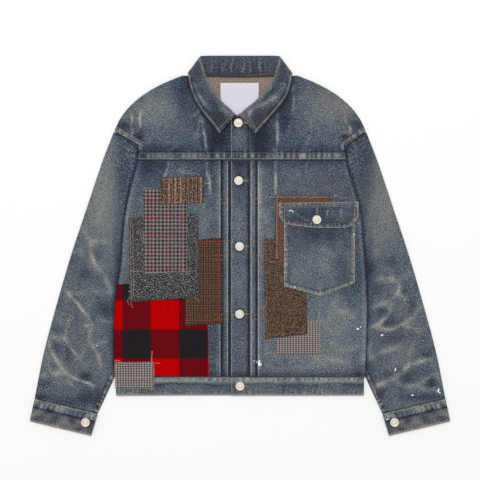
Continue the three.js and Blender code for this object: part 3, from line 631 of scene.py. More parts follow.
# ---- Fronts
# Two panels below the yokes. The left one laps over the right as a stitched placket. Beside the opening
# each has two knife pleats, and at the side it turns over the tucked sleeve and down to the side seam.
FRONT_TONE = 0.39
YOKE_SEAM = 179
PLEAT_STEP = DENIM + 0.3
SIDE_TOP, SIDE_UNDER = 7.1, 4.9
OPENING = {"right": {"sign": -1, "edge": -21, "base": 2.0, "pleats": (24, 40)},
           "left": {"sign": 1, "edge": -19.5, "base": 3.65, "pleats": (21, 36.5)}}
FRONT_ARMHOLE = [[212, 211], [194, 165], [187, 110], [200, 68], [223, 40], [222, 15]]
ARMPIT = 18

# Creases of the fronts and yokes: path, half width, how pale, how high
FRONT_CREASES = [
    ([(-80, 268), (-77, 248), (-73, 224), (-70, 197)], 2.4, 0.46, 1.0),
    ([(-70, 178), (-68, 151), (-64, 137), (-62, 100)], 2.8, 0.40, 0.8),
    ([(-83, 272), (-87, 256), (-88, 240), (-94, 230)], 2.0, 0.34, 0.6),
    ([(-84, 290), (-90, 278), (-98, 271)], 2.6, 0.28, 0.5),
    ([(-104, 272), (-90, 274)], 2.2, 0.18, 0.3),
    ([(-79, 236), (-88, 230), (-96, 222)], 2.4, 0.16, 0.3),
    ([(-112, 316), (-126, 310)], 3, 0.14, 0.4),
    ([(-134, 207), (-142, 202), (-148, 195)], 1.8, 0.46, 0.7),
    ([(-152, 202), (-148, 195)], 2.2, 0.26, 0.5),
    ([(-148, 179), (-151, 166), (-156, 151), (-162, 138)], 2.4, 0.42, 0.8),
    ([(-139, 178), (-142, 166), (-148, 154)], 2.6, 0.22, 0.5),
    ([(-227, 230), (-226, 240), (-229, 252), (-226, 262), (-227, 275)], 1.7, 0.55, 1.2),
    ([(-227, 234), (-215, 240), (-209, 250), (-210, 268), (-206, 284)], 1.9, 0.50, 1.2),
    ([(-207, 268), (-198, 284), (-184, 296)], 7, 0.06, 0.6),
    ([(-214, 300), (-200, 306), (-190, 300), (-180, 286)], 3, -0.08, 0.3),
    ([(79, 284), (77, 264), (78, 248), (79, 228), (78, 208), (75, 196)], 2.4, 0.52, 1.0),
    ([(75, 179), (74, 160), (75, 137), (74, 108)], 2.4, 0.50, 0.8),
    ([(66, 205), (75, 197), (89, 196), (98, 200)], 2.0, 0.30, 0.5),
    ([(82, 262), (84, 240), (84, 216)], 4.0, 0.12, 0.3),
    ([(109, 336), (113, 316), (112, 292), (111, 276)], 2.4, 0.34, 0.7),
    ([(108, 258), (101, 240), (98, 226)], 3.0, 0.16, 0.4),
    ([(120, 312), (132, 306)], 2.6, 0.16, 0.3),
    ([(147, 256), (150, 238), (142, 220), (138, 208), (142, 196)], 3.4, 0.20, 0.6),
    ([(142, 196), (152, 204)], 2.0, 0.30, 0.4),
    ([(142, 179), (140, 166), (138, 150)], 2.4, 0.24, 0.4),
    ([(232, 250), (231, 230)], 1.8, 0.55, 1.1),
    ([(216, 238), (230, 233)], 1.9, 0.46, 1.1),
    ([(232, 240), (226, 254), (219, 268)], 2.0, 0.42, 1.0),
    ([(214, 246), (218, 260), (222, 274)], 4, 0.08, 0.7),
    ([(190, 300), (214, 296), (230, 286)], 7, 0.08, 0.6),
    ([(40, 160), (40, 60)], 6, 0.10, 0.2),
    ([(-105, 40), (-96, 10), (-92, -20)], 5, 0.05, 0.4),
    ([(52, 60), (66, 20), (60, -60)], 6, 0.08, 0.4),
    ([(190, -120), (214, -140), (246, -150)], 5, 0.12, 0.6),
    ([(184, -200), (206, -216), (244, -220)], 5, 0.12, 0.6),
    ([(160, -250), (190, -240), (226, -246)], 5, 0.10, 0.5),
    ([(-240, 60), (-228, 20), (-236, -30)], 4, 0.14, 0.5),
]
# Broad zones of the fronts and yokes, paler and darker: worn places, and painted shade under and beside the
# collar and round the armholes
FRONT_WEAR_AND_SHADE = [
    (-176, 284, 62, 44, 0.16), (180, 286, 60, 52, 0.125), (110, 236, 60, 30, -0.04),
    (-46, 224, 24, 36, -0.40), (44, 218, 22, 34, -0.38),
    (-122, 318, 18, 40, -0.20), (-104, 268, 16, 20, -0.10), (92, 274, 14, 40, -0.22),
    (110, 300, 20, 40, -0.06),
    (-242, 252, 16, 8, -0.26), (245, 254, 14, 8, -0.26), (-209, 226, 5, 12, -0.36),
    (-219, 236, 5, 6, -0.2), (220, 229, 7, 6, -0.34),
    (-150, 203, 70, 8, -0.20), (150, 203, 80, 8, -0.16), (-190, 162, 30, 22, -0.18),
    (-215, 200, 12, 12, 0.06),
    (-130, 158, 30, 16, 0.08), (130, 150, 60, 20, 0.04), (238, -60, 24, 100, -0.14),
    (190, 142, 60, 34, -0.05), (-70, 120, 26, 50, -0.06), (-100, 100, 30, 50, -0.08),
    (0, 142, 16, 20, -0.10), (-240, 130, 20, 70, 0.04), (-75, 60, 22, 60, 0.10),
    (40, 100, 20, 60, 0.05), (52, 40, 18, 70, 0.10), (0, 222, 17, 26, 0.08), (0, 176, 16, 20, -0.16),
    (0, 110, 16, 26, -0.05), (0, 40, 16, 46, 0.12), (0, -80, 16, 46, 0.10), (0, -210, 16, 50, 0.02),
    (-44, -60, 16, 70, -0.06), (-44, -200, 18, 60, -0.10), (30, -200, 14, 80, 0.06),
    (210, -150, 40, 40, 0.12),
    (200, -230, 60, 30, 0.06), (110, -240, 70, 30, 0.08), (245, 150, 20, 40, -0.06),
    (246, -20, 14, 90, 0.06),
    (-110, 100, 40, 50, 0.06), (90, -246, 40, 14, -0.10), (250, -262, 16, 14, -0.20),
    (238, -228, 14, 12, -0.10),
]
TAN_ZONES = [(-190, 290, 50, 34, 0.16), (188, 296, 50, 40, 0.22), (-225, 262, 16, 20, 0.1),
             (120, 130, 60, 24, 0.10), (200, 130, 40, 40, 0.10), (-60, -290, 300, 14, 0.15),
             (225, 270, 14, 30, 0.15)]


def lie(x, y):
    """How far the whole front stands above its drawn level: its creases and the slack of the cloth."""
    rise = creased(x, y, FRONT_CREASES)[1]
    slack = 0.45 * np.sin(x / 37 + y / 61) + 0.3 * np.sin(x / 21 - y / 33 + 2)
    slack += 0.25 * np.sin(y / 17 + x / 90)
    inward = ease((262 - np.abs(x)) / 20) * ease((y + 282) / 12)
    return inward * (rise + 0.5 + slack)


UNDER_COLLAR = [(107, 358), (104.5, 334), (95, 308), (78, 280), (57, 254.5), (42.8, 234.7), (9, 275)]
FRONT_BUTTONS = [(-3.6, 257), (-3, 136), (-1, -2), (-1, -144)]


def front_wear_and_shade(x, y):
    """How pale the whole front has worn in each place, with painted shadow beside the collar's edge, below
    the yoke, along the side folds and round the buttons.
    """
    pale, _ = creased(x, y, FRONT_CREASES)
    # Painted shadow on the yokes beside the collar's edge.
    shade = near(np.abs(x) + 10 * (x > 0) * ease((300 - y) / 60), y, UNDER_COLLAR)[0]
    pale = 1.15 * pale - 0.30 * bell(shade, 5) - 0.10 * bell(shade, 14)
    wear_and_shade = spots(x, y, FRONT_TONE, FRONT_WEAR_AND_SHADE) + pale
    below = YOKE_SEAM - y
    # Painted shadow on the front below the overlapping yoke.
    wear_and_shade -= 0.14 * bell(np.maximum(below, 0), 14) * (below > 0)
    wear_and_shade += 0.14 * seam_rope(x, y - 196, 7) * (y > YOKE_SEAM) - 0.20 * bell(y + 272, 7)
    # Paler just inside each side fold, and painted shade along the rounded fold itself.
    fold = np.where(x < 0, rounded(SIDE_FOLD["right"])(y), rounded(SIDE_FOLD["left"])(y)) - np.abs(x)
    wear_and_shade += 0.10 * bell(fold - 5, 4) * (y < 205) - 0.12 * bell(fold, 1.5) * (y < 205)
    wear_and_shade += 0.10 * ease((-60 - y) / 90) * (x > 50) + 0.04 * ease((-x - 60) / 20) * (y < 100)
    # A ring of painted shadow round each button.
    for across, level in FRONT_BUTTONS:
        wear_and_shade -= 0.20 * bell(np.hypot(x - across, y - level) - 9, 3.5)
    return wear_and_shade


def front_section(side, y):
    """One cross section of a front, from its opening to the side seam: points and steps between them."""
    cut = OPENING[side]
    base, (first, second) = cut["base"], cut["pleats"]
    section = [(cut["edge"], base), (first - 5, base), (first, base)]
    steps = [16, 4]
    level = base
    for fold in (first, second):
        radius = PLEAT_STEP / 2
        section += turn(fold + 5.5, level + radius, radius, 1, 4)
        section += turn(fold, level + PLEAT_STEP + radius, radius, -1, 4)
        steps += [4] + [1] * 4 + [3] + [1] * 4
        if fold == first:
            section += [(fold + 4, level + 2 * PLEAT_STEP), (fold + 10, base + 0.5),
                        (second - 4, base + 0.5), (second + 1, base + 0.5)]
            steps += [4, 3, 1, 4]
            level = base + 0.5
    section += [(second + 4, level + 2 * PLEAT_STEP)]
    steps += [2]
    fold = float(rounded(SIDE_FOLD[side])(y))
    under = y > ARMPIT
    end = float(rounded(FRONT_ARMHOLE)(y)) + 1 if under else float(rounded(SIDE_CURVE)(y)) - 11.1
    section += [(60, 4.7), (100, 4.6), (min(150, end - 42), 4.6), (end - 14, 5.1), (end + 2, 6.4),
                (end + (fold - end) * 0.62, 6.9)]
    steps += [6, 14, 18, 16, 6, 5]
    section += turn(fold - DENIM / 2, (SIDE_TOP + SIDE_UNDER) / 2, (SIDE_TOP - SIDE_UNDER) / 2, 1, 8)[::-1]
    steps += [5] + [1] * 8
    if under:
        section += [(end + 8, SIDE_UNDER), (end + 4, SIDE_UNDER), (end, SIDE_UNDER)]
    else:
        section += [(end + 8, SIDE_UNDER), (end + 3.5, 2.8), (end, DENIM / 2)]
    steps += [5, 2, 2]
    return section, steps


def lay_front(name, side, levels, section_at, wear_and_shade_of, warm_of):
    """A panel of the front as a grid: one row for each level, laid with the creases of the whole front."""
    sign = OPENING[side]["sign"]
    points, flat = [], []
    for y in levels:
        section, steps = section_at(side, y)
        row = fill(section, steps)
        run = run_along(row)
        points.append(np.stack([sign * row[:, 0], np.full(len(row), y), row[:, 1]], axis=1))
        flat.append(np.stack([sign * (run + section[0][0]), np.full(len(row), y)], axis=1))
    points, flat = np.array(points), np.array(flat)
    x, y, z = points[:, :, 0], points[:, :, 1], points[:, :, 2]
    smooth = z.copy()
    for _ in range(10):
        smooth[:, 1:-1] = (smooth[:, :-2] + 2 * smooth[:, 1:-1] + smooth[:, 2:]) / 4
    spacing = np.abs(np.gradient(np.abs(x), axis=1))
    flatness = ease((spacing - 1.2) / 1.0) * (np.abs(x) > 62)
    points[:, :, 2] = z + (smooth - z) * flatness
    points[:, :, 2] += lie(x, y) * ease((z - 1.5) / 2)
    return cloth(name, points, flat, DENIM, wear_and_shade_of(x, y), warm_of(x, y))


def front_warm(x, y):
    """How tan the weft shows in each place."""
    return spots(x, y, 0.05, TAN_ZONES)


def pleat_wear_and_shadow(x, y, side):
    """Pleat edges and the placket's edges rub pale, and painted shadow darkens the cloth just inside the
    folds and beside the placket's edge.
    """
    cut = OPENING[side]
    d = x * cut["sign"]
    light = 0.0
    for fold in cut["pleats"]:
        light += 0.42 * bell(d - fold - 2.4, 1.3) - 0.55 * bell(d - fold + 1.2, 1.5)
        light = light - 0.14 * bell(d - fold + 4.5, 2.5) + 0.14 * bell(d - fold - 8, 2)
    if side == "left":
        light += 0.16 * bell(x + 15.5, 2) * (0.6 + 0.4 * np.sin(y / 5))
        light -= 0.40 * bell(x - 18.6, 1.6)
    else:
        light -= 0.45 * bell(x + 21, 2.2)
    return light


def build_front(side):
    levels = np.linspace(YOKE_SEAM - 1.2, WAIST_SEAM + 0.6, 152)
    wear_and_shade = lambda x, y: front_wear_and_shade(x, y) + pleat_wear_and_shadow(x, y, side)
    piece = lay_front(f"{side}_front", side, levels, front_section, wear_and_shade, front_warm)
    declare(piece, f"front_{side}")
    return piece


fronts = {side: build_front(side) for side in SIDES}

# ---- Yokes
# The upper fronts, from the yoke seam over the shoulder, where each turns round to the back. The seam
# allowance inside the doubled stitching makes a pale roped band along the yoke seam and the armhole.
NECK_TOP = 271
NECK_RISE = 1.1
SHOULDER_END = 356
NECKLINE = [[-20, NECK_TOP - 1], [12, NECK_TOP], [27, 284], [48, 296], [76, 322], [89, 340], [93, 350],
            [110, SHOULDER_END]]


def yoke_section(side, y):
    """One cross section of a yoke, from the opening or the neckline to where it turns to the back."""
    cut = OPENING[side]
    inner = cut["edge"] if y <= NECK_TOP - 1 else float(straight(NECKLINE, y))
    if y <= 211:
        outer = float(rounded(SIDE_FOLD[side])(y))
    elif y <= 241.5:
        outer = SIDE_FOLD[side][0][0] + (263.5 - SIDE_FOLD[side][0][0]) * (y - 211) / 30.5
    else:
        outer = float(rounded(SHOULDER_CURVE)(y))
    rise = float(ease((y - 300) / 40))
    over = float(ease((248 - y) / 8))
    blend = lambda a, b, t: a + (b - a) * t
    top = blend(blend(3.9, 5.1, rise), SIDE_TOP, over)
    under = blend(blend(DENIM / 2, 3.4, rise), SIDE_UNDER, over)
    chest = blend(blend(4.9, 4.3, float(ease((y - 200) / 50))), 5.1, rise)
    seam = rounded(SHOULDER_CURVE)
    slope = float((seam(y - 2) - seam(y + 2)) / 4)
    stretch = blend(math.hypot(1, slope), 1, over)
    turned = outer - float(rounded(FRONT_ARMHOLE)(y)) - 1.5 if y <= 211 else 12 * stretch * 0.9
    end = max(outer - max(turned, 8), inner + 1)
    start = max(inner + 1, blend(outer - 30, end - 14, over))
    stand = cut["base"] + NECK_RISE * float(ease((y - 238) / 30))
    level = lambda d: blend(stand, chest, min(1, max(0, (d - 22) / 12)))
    flat_to, risen = max(22, inner + 1), max(34, inner + 2)
    section = [(inner, level(inner)), (flat_to, level(flat_to))]
    for share in (0, 0.25, 0.5, 0.75, 1):
        d = risen + (max(start, risen + 2) - risen) * share
        section.append((d, level(d)))
    arc = turn(outer - DENIM / 2, (top + under) / 2, (top - under) / 2, 1, 8, stretch)[::-1]
    section.append((blend(start, arc[0][0], 0.6), blend(level(start), top, 0.75)))
    section += arc
    last = arc[-1][0]
    section += [((last + end) / 2, under), (end, under)]
    return section, [14, 5, 14, 14, 14, 14, 6, 5] + [1] * 8 + [4, 4]


def build_yoke(side):
    levels = np.concatenate([np.linspace(YOKE_SEAM + 0.6, NECK_TOP - 1, 33),
                             np.linspace(NECK_TOP, SHOULDER_END, 33)])

    def wear_and_shade(x, y):
        band = plateau(y - 187.5, 5.5)
        away, along, _ = near(x, y, ARMHOLE_SEAM[side])
        sleeve_band = plateau(away - 5, 5) * (np.abs(x) > 205)
        rope = seam_rope(x, 0 * x, 7) * (0.6 + 0.5 * bell(np.abs(x) - 205, 14))
        light = band * (0.10 + 0.38 * rope) + sleeve_band * (0.12 + 0.24 * seam_rope(along, 0 * x, 7))
        # Painted shade in thin lines along the yoke's lower edge, above the seam band and beside the armhole
        # band.
        light = light - 0.26 * bell(y - 179.8, 1.4) - 0.22 * bell(y - 196.5, 1.6)
        light -= 0.24 * bell(away - 11.5, 1.6) * (np.abs(x) > 205)
        return front_wear_and_shade(x, y) + light + (pleat_wear_and_shadow(x, y, side) * 0.3 if side == "left" else 0)

    def warm(x, y):
        return front_warm(x, y) + 0.25 * bell(y - 180.5, 1.6)

    piece = lay_front(f"{side}_yoke", side, levels, yoke_section, wear_and_shade, warm)
    declare(piece, f"yoke_{side}")
    return piece


yokes = {side: build_yoke(side) for side in SIDES}

# ---- Waistband
# One doubled strip round the hem, its left end buttoned over its right. The gathered seam allowance
# inside it shows as a pale ridge along its middle, roped by washing.
WAISTBAND_TONE = 0.48
HEM = -313.5
HEM_HALF = 260


def build_waistband():
    radius, middle = 2.2, 3.25
    ends = turn(HEM_HALF - 1, middle, radius, 1)
    section = [(23, 3.4), (-60, 3.5), (-150, 4.8), (-HEM_HALF + 14, 5.4)]
    section += [(-x, z) for x, z in ends[::-1]] + [(-130, 1), (130, 1)] + ends
    section += [(HEM_HALF - 14, 5.4), (150, 5.2), (40, 5.8), (-19.5, 5.8)]
    steps = [28, 32, 34, 5] + [1] * 8 + [16, 30, 16] + [1] * 8 + [5, 34, 40, 22]
    row = fill(section, steps)
    run = run_along(row)
    levels = np.linspace(WAIST_SEAM - 0.8, HEM, 16)
    x = np.repeat(row[None, :, 0], len(levels), axis=0)
    y = np.repeat(levels[:, None], len(row), axis=1)
    z = np.repeat(row[None, :, 1], len(levels), axis=0)
    above = ease((z - 3.2) / 0.6)
    ridge = bell(y + 288, 3.2)
    hem_rope = seam_rope(x, y + 309, 5, 1.7)
    seam = seam_rope(x + 9, y + 279, 4, 1.9)
    z = z + above * (0.7 * ridge + 0.3 * hem_rope + 0.25 * seam + 0.3 * np.sin(x / 29) * np.sin(y / 12))
    wavy = -291 + 1.6 * np.sin(x / 26) + 1.1 * np.sin(x / 11 + 2)
    shaded = 0.10 + 0.16 * ease((-20 - x) / 80) + 0.06 * ease((x - 120) / 90)
    wear_and_shade = WAISTBAND_TONE + 0.16 * plateau(y + 283, 5) + 0.18 * hem_rope + 0.28 * seam
    wear_and_shade = wear_and_shade - shaded * bell(y - wavy, 2.4) - 0.03 * (y < wavy)
    wear_and_shade += 0.34 * bell(y + 313, 1.8) + 0.035 * np.sin(x / 23) - 0.06 * bell(y + 297, 5)
    warm = 0.5 * bell(y + 313, 2.4) + 0.09
    flat = np.stack([np.repeat(run[None, :], len(levels), axis=0), y], axis=2)
    piece = cloth("waist_band", np.stack([x, y, z], axis=2), flat, DOUBLED, wear_and_shade, warm, rim=0.6)
    declare(piece, "waistband")
    return piece


waistband = build_waistband()

# ---- Collar
# One doubled band: it stands up from the neck seam, rolls over, and falls to its points in front.
# At the back the fall is turned under the jacket. The roll is rubbed pale and the stand is crinkled.
COLLAR_TONE = 0.31
# Stations along one half of it: neck seam, roll, outer edge, and which way the roll faces in degrees
COLLAR_HALF = [
    ([92, 339, 6.9], [71, 354, 8.6], [104.5, 334, 9.4], 90),
    ([96, 350, 6.9], [76, 371, 8.6], [107.5, 351, 9.2], 84),
    ([99, 358, 6.6], [81, 388, 7.6], [108.5, 359, 7.6], 50),
    ([98, 361, 6.0], [83.5, 394, 6.0], [108.5, 362, 4.8], 0),
    ([94, 360, 5.6], [82, 397, 4.4], [105, 360, 2.4], -50),
    ([85, 356, 5.3], [77, 398, 3.0], [98, 352, 1.15], -86),
    ([60, 354, 5.3], [55, 398.5, 2.6], [64, 350, 1.1], -90),
    ([30, 353, 5.3], [28, 398.5, 2.5], [32, 349, 1.1], -90),
]
COLLAR_FRONT = {
    "right": [([12, 268.5, 6.8], [9.2, 274.9, 7.8], [42.8, 234.7, 8.6], 90),
              ([27, 281, 6.5], [21, 287, 7.7], [57, 254.5, 8.7], 90),
              ([53, 299, 6.2], [42, 306.5, 7.8], [78, 280, 8.9], 90),
              ([80, 323, 6.5], [61, 332, 8.2], [95, 308, 9.2], 90)],
    "left": [([-3, 268.5, 6.8], [-2.9, 274.5, 7.8], [32.5, 234.7, 8.6], 90),
             ([18, 281, 6.5], [12, 287, 7.7], [49.9, 255, 8.7], 90),
             ([47, 299, 6.2], [36, 306.5, 7.8], [72, 280, 8.9], 90),
             ([79, 323, 6.5], [61, 332, 8.2], [95, 310, 9.2], 90)],
}


def build_collar():
    def half(side):
        sign = OPENING[side]["sign"]
        out = []
        for neck, roll, edge, way in COLLAR_FRONT[side] + COLLAR_HALF:
            a = math.radians(way)
            out.append([[sign * p[0], p[1], p[2]] for p in (neck, roll, edge)]
                       + [[sign * math.cos(a), 0, math.sin(a)]])
        return out
    middle = [[0, 353, 5.3], [0, 398.5, 2.5], [0, 349, 1.1], [0, 0, -1]]
    stations = np.array(half("right") + [middle] + half("left")[::-1], float)
    count = len(stations)
    index = np.arange(count, dtype=float)
    roll_run = run_along(stations[:, 1])
    fine = np.interp(np.linspace(0, roll_run[-1], 250), roll_run, index)
    dense = np.stack([[rounded(np.stack([stations[:, p, k], index], axis=1))(fine) for k in range(3)]
                      for p in range(4)])
    neck, roll, edge, out = (dense[p].T for p in range(4))
    out /= np.linalg.norm(out, axis=1)[:, None]
    up = roll - neck
    up /= np.linalg.norm(up, axis=1)[:, None]
    radius = 1.25
    centre = roll - up * (radius + DOUBLED / 2)
    columns = [neck + (centre - out * radius - neck) * t for t in np.linspace(0, 1, 12)[:-1]]
    for a in np.linspace(-90, 90, 9) * math.pi / 180:
        columns.append(centre + out * radius * math.sin(a) + up * radius * math.cos(a))
    fall = columns[-1]
    columns += [fall + (edge - fall) * t for t in np.linspace(0, 1, 14)[1:]]
    points = np.stack(columns, axis=1)
    run = run_along(points.mean(axis=1))
    depth = np.array([run_along(row) for row in points])
    along = np.repeat(run[:, None], points.shape[1], axis=1)
    stand = np.arange(points.shape[1]) < 11
    fallen = np.arange(points.shape[1]) > 20
    back_part = plateau(points[:, :, 0], 66) * (points[:, :, 1] > 345)
    crinkle = np.sin(along / 4.6 + 2.1 * np.sin(along / 15)) * (0.6 + 0.4 * np.sin(along / 29))
    swayed = points[:, :, 0] + 2.4 * np.sin(points[:, :, 1] / 7 + points[:, :, 0] / 11)
    pleats = sum(g * bell(swayed - at, w) for at, w, g in (
        (-61, 2.6, 0.30), (-50, 2, 0.16), (-39, 2.4, 0.30), (-28, 1.8, 0.2), (-17, 3, 0.46),
        (-6, 1.8, 0.16),
        (7, 2.2, 0.26), (20, 2.4, 0.32), (31, 1.8, 0.16), (43, 3, 0.44), (54, 2, 0.18), (65, 2.4, 0.3)))
    points[:, :, 2] += 0.45 * crinkle * back_part * stand
    tip = np.linspace(0, 1, len(points))
    curl = bell(tip, 0.05) + bell(1 - tip, 0.05)
    share = np.clip((np.arange(points.shape[1]) - 20) / 13, 0, 1)
    raised = fallen * ease((points[:, :, 2] - 4) / 3)
    points[:, :, 2] += (0.5 * np.sin(along / 19) * np.sin(3 * share) + 0.9 * curl[:, None] * share) * raised
    points[:, :, 2] = np.maximum(points[:, :, 2], 1.05)
    x, y = points[:, :, 0], points[:, :, 1]
    edge_away = (depth[:, -1:] - depth) * fallen + 99 * ~fallen
    rubbed = bell(np.arange(points.shape[1]) - 17, 3.0)[None, :]
    mottle = 0.12 * np.sin(along / 17) * np.sin(depth / 9)
    wear_and_shade = COLLAR_TONE - 0.05 * back_part * stand + 0.28 * rubbed + mottle * fallen
    low = 1 - 0.7 * ease((depth - 20) / 16)
    gathered = (0.10 * crinkle + 1.1 * pleats - 0.12) * low + 0.07 * (1 - low)
    wear_and_shade += gathered * back_part * stand * ease((depth - 5) / 9)
    # Painted shade on the stand near the neck seam.
    wear_and_shade -= 0.22 * bell(depth, 9) * stand
    wear_and_shade += 0.22 * bell(edge_away, 1.4) - 0.14 * bell(edge_away - 6, 3)
    wear_and_shade += 0.10 * np.sin(along / 5.1 + 2 * np.sin(along / 17)) * bell(edge_away - 4, 5) * fallen
    # Painted shade where a value is negative and painted highlights where it is positive, along the folds of
    # the collar's fall.
    shade = [([(-56, 300), (-46, 280), (-36, 262)], 9, -0.24, 0), ([(-84, 330), (-74, 312)], 6, -0.20, 0),
             ([(-96, 340), (-88, 318), (-78, 300), (-62, 285)], 2.8, 0.28, 0),
             ([(-40, 290), (-30, 280), (-20, 274)], 4, 0.16, 0),
             ([(-66, 282), (-58, 274), (-46, 250)], 6, -0.12, 0), ([(-30, 262), (-20, 268)], 4, -0.14, 0),
             ([(91, 334), (82, 316), (60, 302), (38, 290), (22, 283)], 3.4, 0.24, 0),
             ([(70, 330), (56, 316)], 6, -0.26, 0),
             ([(84, 338), (92, 340), (96, 330)], 2.4, 0.34, 0), ([(22, 282), (18, 270)], 3, 0.34, 0),
             ([(34, 268), (50, 270), (70, 292)], 5, -0.16, 0), ([(26, 262), (34, 250)], 4, -0.14, 0),
             ([(22, 266), (32, 252)], 2, 0.26, 0), ([(92, 318), (80, 296), (60, 276)], 5, -0.14, 0)]
    wear_and_shade += 1.25 * creased(x, y, shade)[0] * fallen
    warm = 0.12 + 0.36 * bell(edge_away, 1.5) + 0.35 * rubbed * back_part
    flat = np.stack([along, depth], axis=2)
    piece = cloth("collar_band", points, flat, DOUBLED, wear_and_shade, warm + 0 * wear_and_shade, rim=0.6)
    declare(piece, "collar")
    return piece, points


collar, COLLAR_LINES = build_collar()

# ---- Neck label
# A plain pale woven rectangle, sewn to the inside of the back below the neck seam. It is finely ribbed
# and has nothing on it.
LABEL_CLOTH = 0.5


def laid(name, x, y, z, thickness, wear_and_shade, warm, **more):
    """A flat piece, whose own plane is the plan it is laid in."""
    points = np.stack([x, y, z], axis=2)
    return cloth(name, points, points[:, :, :2], thickness, wear_and_shade, warm, **more)


def label_finish():
    f = Finish("pale woven label")
    rib = f.noise((1400, 200), 2)
    return f.done(f.mix(rib, "c8c5ce", "d9d7de"), 0.7, rib, 0.0001)


def build_label():
    x, y = np.meshgrid(np.linspace(-41, 39.5, 34), np.linspace(274, 341, 28))
    z = back_height(x, y) + 1.1 + 0.25 * np.sin(x / 11) * np.sin(y / 14)
    piece = laid("neck_label", x, y, z, LABEL_CLOTH, 0 * x, 0 * x, finish=label_finish())
    declare(piece, "label")
    return piece


label = build_label()

# ---- Woollen patches on the wearer's right
# Cut from old coats and shirts and sewn on by hand, one over another: a red and black plaid at the side, a
# brown glen check, a charcoal tweed, a grey check with red and brown lines, a striped tweed, and a check at
# the hem.
WOOL = 1.0


def surface(pieces):
    """The top of the given pieces as they lie: the height in millimetres over any place."""
    graph = bpy.context.evaluated_depsgraph_get()
    trees = [BVHTree.FromObject(piece, graph) for piece in pieces]

    def top(x, y):
        best = 0.0
        for tree in trees:
            hit = tree.ray_cast(Vector((x * MM, y * MM, 0.1)), Vector((0, 0, -1)))[0]
            if hit is not None:
                best = max(best, hit.z / MM)
        return best
    return np.vectorize(top, otypes=[float])


def drape(x, y, pieces, thickness, clear=0.15, stiff=2):
    """Heights that lay a piece over others: up over their edges and gently down beyond them."""
    under = surface(pieces)(x, y)
    z = under.copy()
    for gather in [np.max] * stiff + [np.mean] * (stiff + 1):
        padded = np.pad(z, 1, mode="edge")
        shifts = [padded[a:a + z.shape[0], b:b + z.shape[1]] for a in range(3) for b in range(3)]
        z = gather(shifts, axis=0)
    return np.maximum(z, under) + clear + thickness / 2


def quad_grid(corners, pitch=2.4, ragged=0.5, seed=1):
    """Places over a four-cornered piece whose cut edges waver a little."""
    top_left, top_right, low_right, low_left = (np.array(c, float) for c in corners)
    across = max(4, int(np.linalg.norm(top_right - top_left) / pitch))
    down = max(4, int(np.linalg.norm(low_left - top_left) / pitch))
    u, v = np.meshgrid(np.linspace(0, 1, across + 1), np.linspace(1, 0, down + 1))
    u3, v3 = u[:, :, None], v[:, :, None]
    place = (top_left * (1 - u3) * (1 - v3) + top_right * u3 * (1 - v3)
             + low_right * u3 * v3 + low_left * (1 - u3) * v3)
    rng = np.random.default_rng(seed)
    for edge in (np.s_[0, :], np.s_[-1, :], np.s_[:, 0], np.s_[:, -1]):
        place[edge] += rng.normal(0, ragged * 0.5, place[edge].shape)
    return place[:, :, 0], place[:, :, 1]


# Repeats of a pattern are counted from this many outside the cloth, so that no count is negative
OUTSIDE = 1000


def repeats(f, axis, pitch, shift=0.0):
    """Repeats of so many millimetres, counted along one way of the cloth."""
    return f.plus(f.times(f.plane()[axis], 1 / MM / pitch), shift / pitch + OUTSIDE)


def checks(f, axis, pitch, shift=0.0):
    """1 on the dark half of each repeat, 0 on the pale half."""
    return f.beat(repeats(f, axis, pitch, shift))


def repeat_index(f, axis, pitch, shift=0.0):
    """The whole number of a repeat."""
    return f.math("FLOOR", repeats(f, axis, pitch, shift))


def diagonal(f, pitch, lean=1.0, shake=0.0):
    """The 2/2 twill line: 1 where the warp shows, 0 where the weft shows."""
    x, y = f.plane()
    v = f.times(f.plus(x, f.times(y, lean)), 1 / MM / pitch)
    return f.beat(f.plus(v, f.plus(f.times(f.noise((420, 420), 2), shake), OUTSIDE)))


def stripe(f, axis, place, width):
    """1 along one stripe of the cloth, at a place in millimetres."""
    away = f.math("ABSOLUTE", f.minus(f.times(f.plane()[axis], 1 / MM), place))
    return f.math("LESS_THAN", away, width / 2)


def red_plaid_finish():
    f = Finish("red and black plaid flannel")
    warp = f.beat(f.times(repeat_index(f, 0, 59.3, 187), 0.5), 0.25)
    weft = f.beat(f.times(repeat_index(f, 1, 61, 176), 0.5), 0.25)
    twill = diagonal(f, 3.4, 1.0, 2.2)
    red = f.plus(f.times(warp, twill), f.times(weft, f.minus(1, twill)))
    nap = f.noise((700, 700), 3, 0.7)
    colour = f.mix(red, f.mix(nap, "101013", "2c292c"), f.mix(nap, "980000", "c60004"))
    both = f.times(warp, weft)
    half = f.minus(f.plus(warp, weft), f.times(both, 2))
    colour = f.mix(f.times(half, 0.48), colour, "5e0214")
    grit = f.times(flecked(f, (520, 520), 1.3), f.plus(f.times(half, 0.5), 0.06))
    colour = f.mix(grit, colour, "120408")
    return f.done(colour, 1.0, nap, 0.0006, 0.0, 0.02)


def flecked(f, scale, hard=1.0):
    """Tweed yarn: coarse salt and pepper grain, spread about a half."""
    coarse, fine = f.noise(scale, 2, 0.8), f.noise((900, 900), 2, 0.7)
    spread = f.times(f.minus(coarse, 0.5), 2.4 * hard)
    return f.plus(f.plus(spread, f.times(f.minus(fine, 0.5), 0.9)), 0.5)


def salted(f, speck, scale, share=0.4, turn=0.0):
    """Tweed grain with pale and dark knots in it, each a thread wide."""
    knot = f.add("ShaderNodeVectorMath", operation="FLOOR")
    f.feed(knot.inputs[0], f.stretched(scale, turn))
    salt = f.add("ShaderNodeTexWhiteNoise", noise_dimensions="2D")
    f.feed(salt.inputs["Vector"], knot.outputs[0])
    return f.plus(f.times(speck, 1 - share), f.times(salt.outputs["Value"], share))


